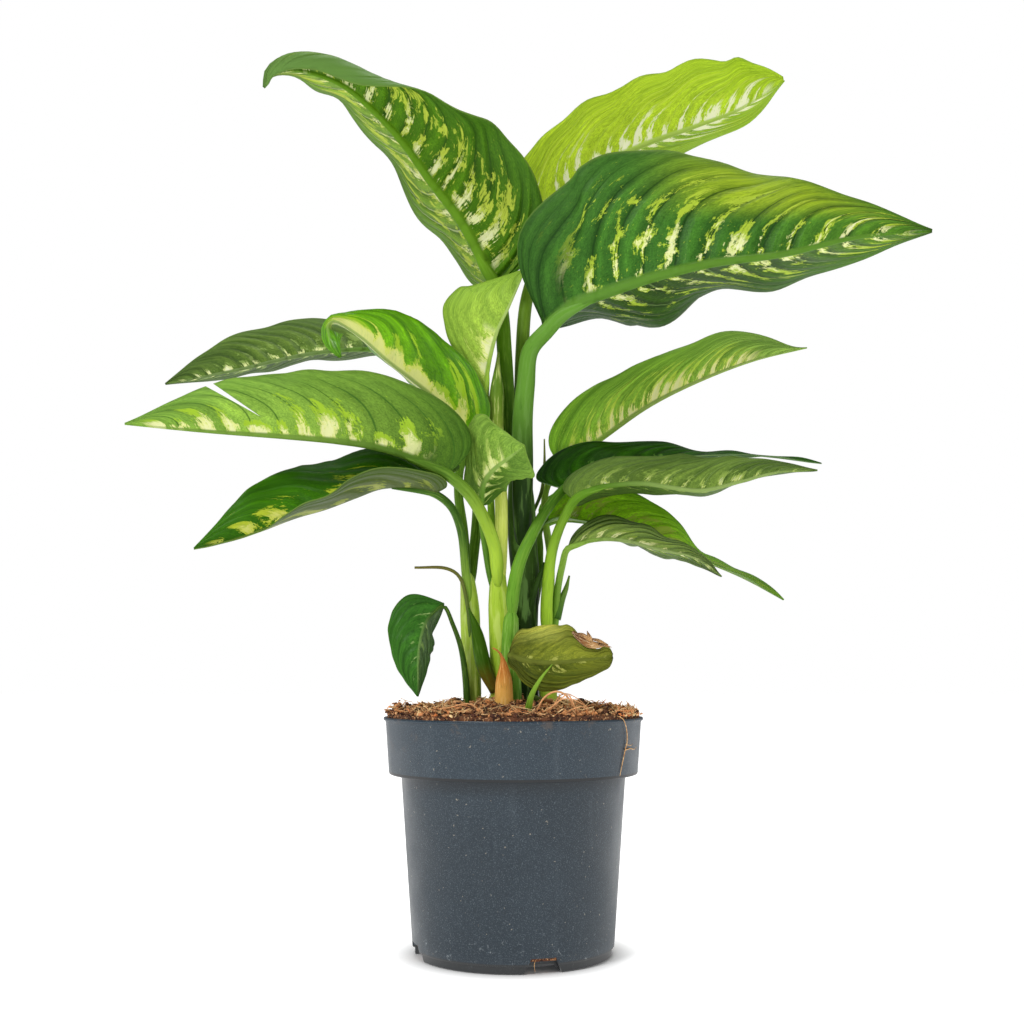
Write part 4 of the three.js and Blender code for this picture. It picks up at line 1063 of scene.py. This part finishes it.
def addCrumb(builder, centre, size, slot, tint):
    # an uneven chip on an icosahedron
    shape = bmesh.new()
    bmesh.ops.create_icosphere(shape, subdivisions=1 if size < 2.0 else 2, radius=1)
    stretch = Vector((dice.uniform(0.6, 1.4), dice.uniform(0.6, 1.2), dice.uniform(0.4, 0.9)))
    turn = Matrix.Rotation(dice.uniform(0, 6.3), 3, "Z") @ Matrix.Rotation(dice.uniform(-0.7, 0.7), 3, "X")
    offset = Vector([dice.uniform(0, 90) for _ in range(3)])
    corners = []
    for v in shape.verts:
        p = v.co * (1 + 0.45 * noise.noise(v.co * 1.4 + offset))
        p = turn @ Vector((p.x * stretch.x, p.y * stretch.y, p.z * stretch.z)) * size + centre
        corners.append(builder.add(p * 0.001, tint=tint))
    for f in shape.faces:
        builder.face(tuple(corners[v.index] for v in f.verts), slot)
    shape.free()


def addFibre(builder, middle, length, rise, thick):
    # a bent fibre or straw, kept above what it lies on
    heading = dice.uniform(0, 2 * math.pi)
    bend = dice.uniform(-1.4, 1.4)
    tilt = dice.uniform(-rise, rise)
    points = []
    for k in range(4):
        f = k / 3 - 0.5
        x = middle[0] + math.cos(heading + bend * f) * length * f
        y = middle[1] + math.sin(heading + bend * f) * length * f
        if math.hypot(x, y) > soilRadius + 1.5:
            x, y = x * 0.93, y * 0.93
        low = max(groundLevel(x, y), rimLevel)
        points.append((x, y, max(middle[2] + tilt * f * 2 + dice.uniform(0, 0.5) * rise, low)))
    addTube(builder, points, [thick, thick * 1.3, thick * 0.5], 4, 6, slot=1, tint=dice.random() ** 0.7,
            flat=dice.uniform(0.3, 1))


def randomSpot(part):
    r = soilRadius * math.sqrt(dice.random()) * part
    turn = dice.uniform(0, 2 * math.pi)
    return r * math.cos(turn), r * math.sin(turn)


def scatter(builder, crumbs, fibres):
    # loose crumbs over the soil, then fibres and straw lying on it
    for _ in range(crumbs):
        x, y = randomSpot(0.985)
        size = dice.choice([0.5, 0.7, 0.9, 1.2, 1.7, 2.4]) * dice.uniform(0.8, 1.2)
        centre = Vector((x, y, soilHeight(x, y) + size * 0.25))
        addCrumb(builder, centre, size, 1 if dice.random() < 0.05 else 0, dice.random() ** 1.4)
    for _ in range(fibres):
        x, y = randomSpot(0.96)
        middle = (x, y, soilHeight(x, y) + 1.1)
        addFibre(builder, middle, dice.uniform(3, 14), 2.6, dice.choice([0.14, 0.18, 0.24, 0.36]))


def heap(builder, angle, radius, spread, height, crumbs, fibres, pale):
    # a small heap of crumbs and fibres, drawn out along the rim
    for k in range(crumbs + fibres):
        part = math.sqrt(dice.random())
        turn = math.radians(angle) + dice.uniform(-1, 1) * spread * part
        r = min(radius + dice.gauss(0, 3.5), soilRadius + 2.0)
        x, y = r * math.cos(turn), r * math.sin(turn)
        z = max(groundLevel(x, y), heapLevel) + height * (1 - part) * dice.random() ** 0.7
        if k < crumbs:
            size = dice.uniform(0.5, 1.7)
            centre = Vector((x, y, z + size * 0.5))
            addCrumb(builder, centre, size, 1 if dice.random() < pale else 0, dice.random() ** 1.2)
        else:
            addFibre(builder, (x, y, z + 0.4), dice.uniform(4, 13), 4, dice.uniform(0.1, 0.35))


def addRing(builder, radius, height, count, tinted=False):
    # one ring of a turned shape; no height means the soil's own
    row = []
    for k in range(count):
        turn = 2 * math.pi * k / count
        x, y = radius * math.cos(turn), radius * math.sin(turn)
        z = soilHeight(x, y) if height is None else height
        tint = 0.2 + 0.3 * noise.noise(Vector((x * 0.1, y * 0.1, 0))) if tinted else 0.0
        row.append(builder.add(mm((x, y, z)), tint=tint))
    return row


def joinRings(builder, rows):
    for low, high in zip(rows, rows[1:]):
        for k in range(len(low)):
            n = (k + 1) % len(low)
            builder.face((low[k], low[n], high[n], high[k]))


soilPlan = {
    "sides": 120, "rings": 34, "crumbs": 3100, "fibres": 960,
    "wall": [(64.4, 7.6), (71.9, 119.7), (79.7, 119.7), (82.3, 151)],
    # small heaps by the rim, each at an angle and a radius; pale is the share of straw-coloured crumbs
    "heaps": [
        {"angle": 197, "radius": 78, "spread": 0.16, "height": 8, "crumbs": 150, "fibres": 34, "pale": 0.1},
        {"angle": 232, "radius": 76, "spread": 0.3, "height": 3, "crumbs": 120, "fibres": 30, "pale": 0.05},
        {"angle": -24, "radius": 79, "spread": 0.26, "height": 4.5, "crumbs": 190, "fibres": 110,
            "pale": 0.8},
        {"angle": -58, "radius": 62, "spread": 0.24, "height": 6, "crumbs": 40, "fibres": 100, "pale": 0.2},
    ],
    # bare roots: dry arches over the soil in straw (slot 1), then in root tones (slot 2) one that hangs
    # down the collar with its two branches, and one in a notch
    "roots": [
        {"slot": 1, "path": [[14, -64, 160], [18, -64, 168], [25, -64, 172.5], [31, -63, 171],
            [36, -62, 165], [40, -61, 158]], "radii": [0.7, 0.9, 0.9, 0.7, 0.5]},
        {"slot": 1, "path": [[18, -66, 157], [24, -67, 163], [31, -67, 170], [33, -66, 171], [37, -65, 164],
            [38, -64, 158]], "radii": [0.5, 0.6, 0.6, 0.4]},
        {"slot": 1, "path": [[12, -66, 158], [20, -68, 161], [30, -67, 168], [38, -64, 167],
            [46, -60, 162]], "radii": [0.5, 0.6, 0.5, 0.3]},
        {"slot": 1, "path": [[22, -62, 160], [30, -62, 171], [38, -60, 169], [44, -58, 164]],
            "radii": [0.4, 0.5, 0.3]},
        {"slot": 1, "path": [[28, -70, 156.8], [36, -68, 162], [43, -64, 163], [47, -60, 158]],
            "radii": [0.4, 0.5, 0.3]},
        {"slot": 1, "path": [[-52, -58, 161], [-40, -62, 162.5], [-27, -64, 165], [-20, -64, 161]],
            "radii": [0.5, 0.6, 0.6, 0.4]},
        {"slot": 2, "path": [[60, -46, 157], [66.5, -53.3, 156.4], [69.5, -48.6, 152], [71, -44.8, 142],
            [69.6, -45.9, 135.7], [67.6, -47.5, 127], [66.1, -49, 119.9]],
            "radii": [0.3, 0.4, 0.35, 0.45, 0.5, 0.4, 0.25]},
        {"slot": 2, "path": [[69.6, -45.9, 135.7], [73, -40.4, 136.3], [76.6, -33.4, 135.6],
            [78.2, -31.4, 137]], "radii": [0.6, 0.4, 0.4, 0.15]},
        {"slot": 2, "path": [[70.4, -45.4, 139], [74, -39.6, 138.4], [75.4, -36.8, 139.4]],
            "radii": [0.3, 0.3, 0.1]},
        {"slot": 2, "path": [[14, -62, 9.5], [12.6, -65.5, 6], [13.2, -67.4, 2.4]],
            "radii": [0.25, 0.25, 0.1]},
    ],
}


def soilPiece():
    builder = Builder()
    rings = soilPlan["rings"]
    profile = soilPlan["wall"] + [(soilRadius * k / rings, None) for k in range(rings, 0, -1)]
    rows = [addRing(builder, radius, height, soilPlan["sides"], True) for radius, height in profile]
    joinRings(builder, rows)
    builder.face(tuple(reversed(rows[0])))
    builder.face(tuple(rows[-1]))
    scatter(builder, soilPlan["crumbs"], soilPlan["fibres"])
    for numbers in soilPlan["heaps"]:
        heap(builder, **numbers)
    for root in soilPlan["roots"]:
        addTube(builder, root["path"], [r * 0.7 for r in root["radii"]], 6, slot=root["slot"], tint=0.35)
    return builder


soilSkins = [plainMaterial("soil", soilLook), plainMaterial("straw", strawLook),
             plainMaterial("bare_root", rootLook)]
settle(soilPiece().finish("soil_fine", soilSkins), "soil")
print("soil done")


# Pot: a thin moulded shell with a stepped collar, a base ring and notches for draining

def potLook(position):
    # dark blue-grey plastic: pale specks all over, dirt below the rim, scuffs and dust near the base
    height = parts(position)[2]
    base = mixTone(ramp(height, 0.112, 0.122), (8, 31, 44), (18, 40, 54))
    cloud = grain(position, 18.0, 4.0, 0.6)
    base = mixTone(ramp(cloud, 0.45, 0.7, 0.0, 0.25), base, (56, 68, 78))
    upright = put(position.tree, "ShaderNodeVectorMath", {0: position, 1: (90, 90, 9)}, operation="MULTIPLY")
    base = mixTone(ramp(grain(upright, 1.0, 4.0), 0.56, 0.75, 0.0, 0.18), base, (84, 96, 104))
    specks = grain(position, 1500.0, 3.0, 0.75)
    base = mixTone(ramp(specks, 0.52, 0.7, 0.0, 0.5), base, (112, 126, 134))
    base = mixTone(ramp(specks, 0.48, 0.3, 0.0, 0.6), base, (14, 24, 32))
    dots = ramp(grain(position, 400.0, 2.0, 0.5), 0.72, 0.75)
    base = mixTone(dots * 0.4, base, (196, 186, 166))
    scuffs = ramp(grain(position, 210.0, 6.0, 0.75, 0.8), 0.6, 0.68)
    base = mixTone(scuffs * (ramp(height, 0.045, 0.0, 0.05, 1.0) * 0.65), base, (156, 164, 168))
    dirt = ramp(grain(position, 75.0, 6.0, 0.75), 0.56, 0.68) * ramp(height, 0.126, 0.156)
    base = mixTone(dirt * 0.35, base, (110, 90, 70))
    base = mixTone(ramp(height, 0.0068, 0.0058, 0.0, 0.85), base, (30, 31, 31))
    # the shade in the corner below the collar, narrow and then wide
    for start, end, amount in ((0.1168, 0.1192, 0.95), (0.108, 0.119, 0.6)):
        corner = ramp(height, start, end) * ramp(height, 0.1202, 0.1198)
        base = mixTone(corner * amount, base, (8, 12, 16))
    return base, grain(position, 900.0, 3.0, 0.6) * 0.12, ramp(cloud, 0.3, 0.7, 0.34, 0.5)


potPlan = {
    "sides": 180,
    # radius and height, from the middle of the bottom round the outside to the floor inside
    "profile": [
        (44.5, 0.6), (45.6, 0.1), (46.2, 0.3), (49.8, 4.6), (51, 5), (60, 5), (60.7, 4.8), (61.4, 0.5),
        (61.8, 0), (64.1, 0), (64.5, 0.4), (64.6, 4.4), (65, 5), (65.8, 5.2), (66.3, 6), (66.9, 14),
        (73.5, 116.5), (73.8, 117.7), (74.6, 118), (80.6, 118), (81.3, 118.3), (81.6, 119.2), (83.6, 151.6),
        (84, 152.8), (84.8, 153.1), (85, 153.6), (85, 154.4), (84.7, 154.9), (84.2, 155), (83.3, 155),
        (82.9, 154.6), (80.2, 120.6), (79.4, 119.4), (73, 119.4), (72.3, 118.6), (64.9, 8.2), (63.8, 7.2),
    ],
    "notch": {"corners": [(-13, -1), (13, -1), (8, 9.7), (-8, 9.7)], "front": -69.2, "back": -60.2},
    "firstNotch": 16.4,  # degrees round the pot; three more follow a quarter turn apart
}


def potPiece():
    builder = Builder()
    sides, profile = potPlan["sides"], potPlan["profile"]
    rows = [addRing(builder, radius, height, sides) for radius, height in profile]
    joinRings(builder, rows)
    below, above = [builder.add(mm((0, 0, profile[k][1]))) for k in (0, -1)]
    for k in range(sides):
        n = (k + 1) % sides
        builder.face((below, rows[0][n], rows[0][k]))
        builder.face((above, rows[-1][k], rows[-1][n]))
    return builder


pot = potPiece().finish("pot_fine", [plainMaterial("pot_plastic", potLook)])
applyCut(pot, [makeCutter(**potPlan["notch"], turn=potPlan["firstNotch"] + 90 * k) for k in range(4)])
settle(pot, "pot")
edges = pot.modifiers.new("edges", "EDGE_SPLIT")
edges.split_angle = math.radians(38)
print("pot done")


# Floor, light and surroundings, in metres and watts
floorMesh = bpy.data.meshes.new("floor")
floorLevel = -0.0003
corners = [(x, y, floorLevel) for x, y in ((-6, -6), (6, -6), (6, 9), (-6, 9))]
floorMesh.from_pydata(corners, [], [(0, 1, 2, 3)])
floor = bpy.data.objects.new("floor", floorMesh)
bpy.context.scene.collection.objects.link(floor)
paint = bpy.data.materials.new("floor_paint")
paint.use_nodes = True
skin = paint.node_tree.nodes["Principled BSDF"]
skin.inputs["Base Color"].default_value = (0.9, 0.9, 0.9, 1)
skin.inputs["Roughness"].default_value = 1.0
skin.inputs["Specular IOR Level"].default_value = 0.0
skin.inputs["Emission Color"].default_value = (1, 1, 1, 1)
# the floor glows: evenly for the light it throws onto the plant, and, seen directly, less where the pot
# closes it in, a painted contact shadow
openness = put(paint.node_tree, "ShaderNodeAmbientOcclusion", {"Distance": 0.035}, "AO", samples=12)
seenDirectly = put(paint.node_tree, "ShaderNodeLightPath", out="Is Camera Ray")
shining = ramp(openness, 0.35, 1.0, -0.68, 0.2) * seenDirectly + 0.68
paint.node_tree.links.new(shining.socket, skin.inputs["Emission Strength"])
floorMesh.materials.append(paint)

world = bpy.data.worlds.new("studio")
world.use_nodes = True
sky = world.node_tree
glow = sky.nodes["Background"]
glow.inputs["Strength"].default_value = 0.42
glow.inputs["Color"].default_value = (1, 1, 1, 1)
white = put(sky, "ShaderNodeBackground", {"Strength": 1.0, "Color": (1, 1, 1, 1)})
seen = put(sky, "ShaderNodeLightPath", out="Is Camera Ray")
both = put(sky, "ShaderNodeMixShader", {0: seen, 1: Flow(sky, glow.outputs[0]), 2: white})
sky.links.new(both.socket, sky.nodes["World Output"].inputs["Surface"])
bpy.context.scene.world = world

lamps = {
    "key": {"at": (-1.0, -1.3, 1.7), "size": 0.5, "power": 20},
    "fill": {"at": (1.3, -1.2, 0.7), "size": 1.2, "power": 2.5},
    "top": {"at": (0.15, 0.3, 1.8), "size": 0.8, "power": 9},
}
lampTarget = Vector((0, 0, 0.33))
for label, lamp in lamps.items():
    light = bpy.data.lights.new(label, "AREA")
    light.size = lamp["size"]
    light.energy = lamp["power"]
    holder = bpy.data.objects.new(label, light)
    holder.location = lamp["at"]
    holder.rotation_euler = (lampTarget - Vector(lamp["at"])).to_track_quat("-Z", "Y").to_euler()
    bpy.context.scene.collection.objects.link(holder)
print("floor and light done")
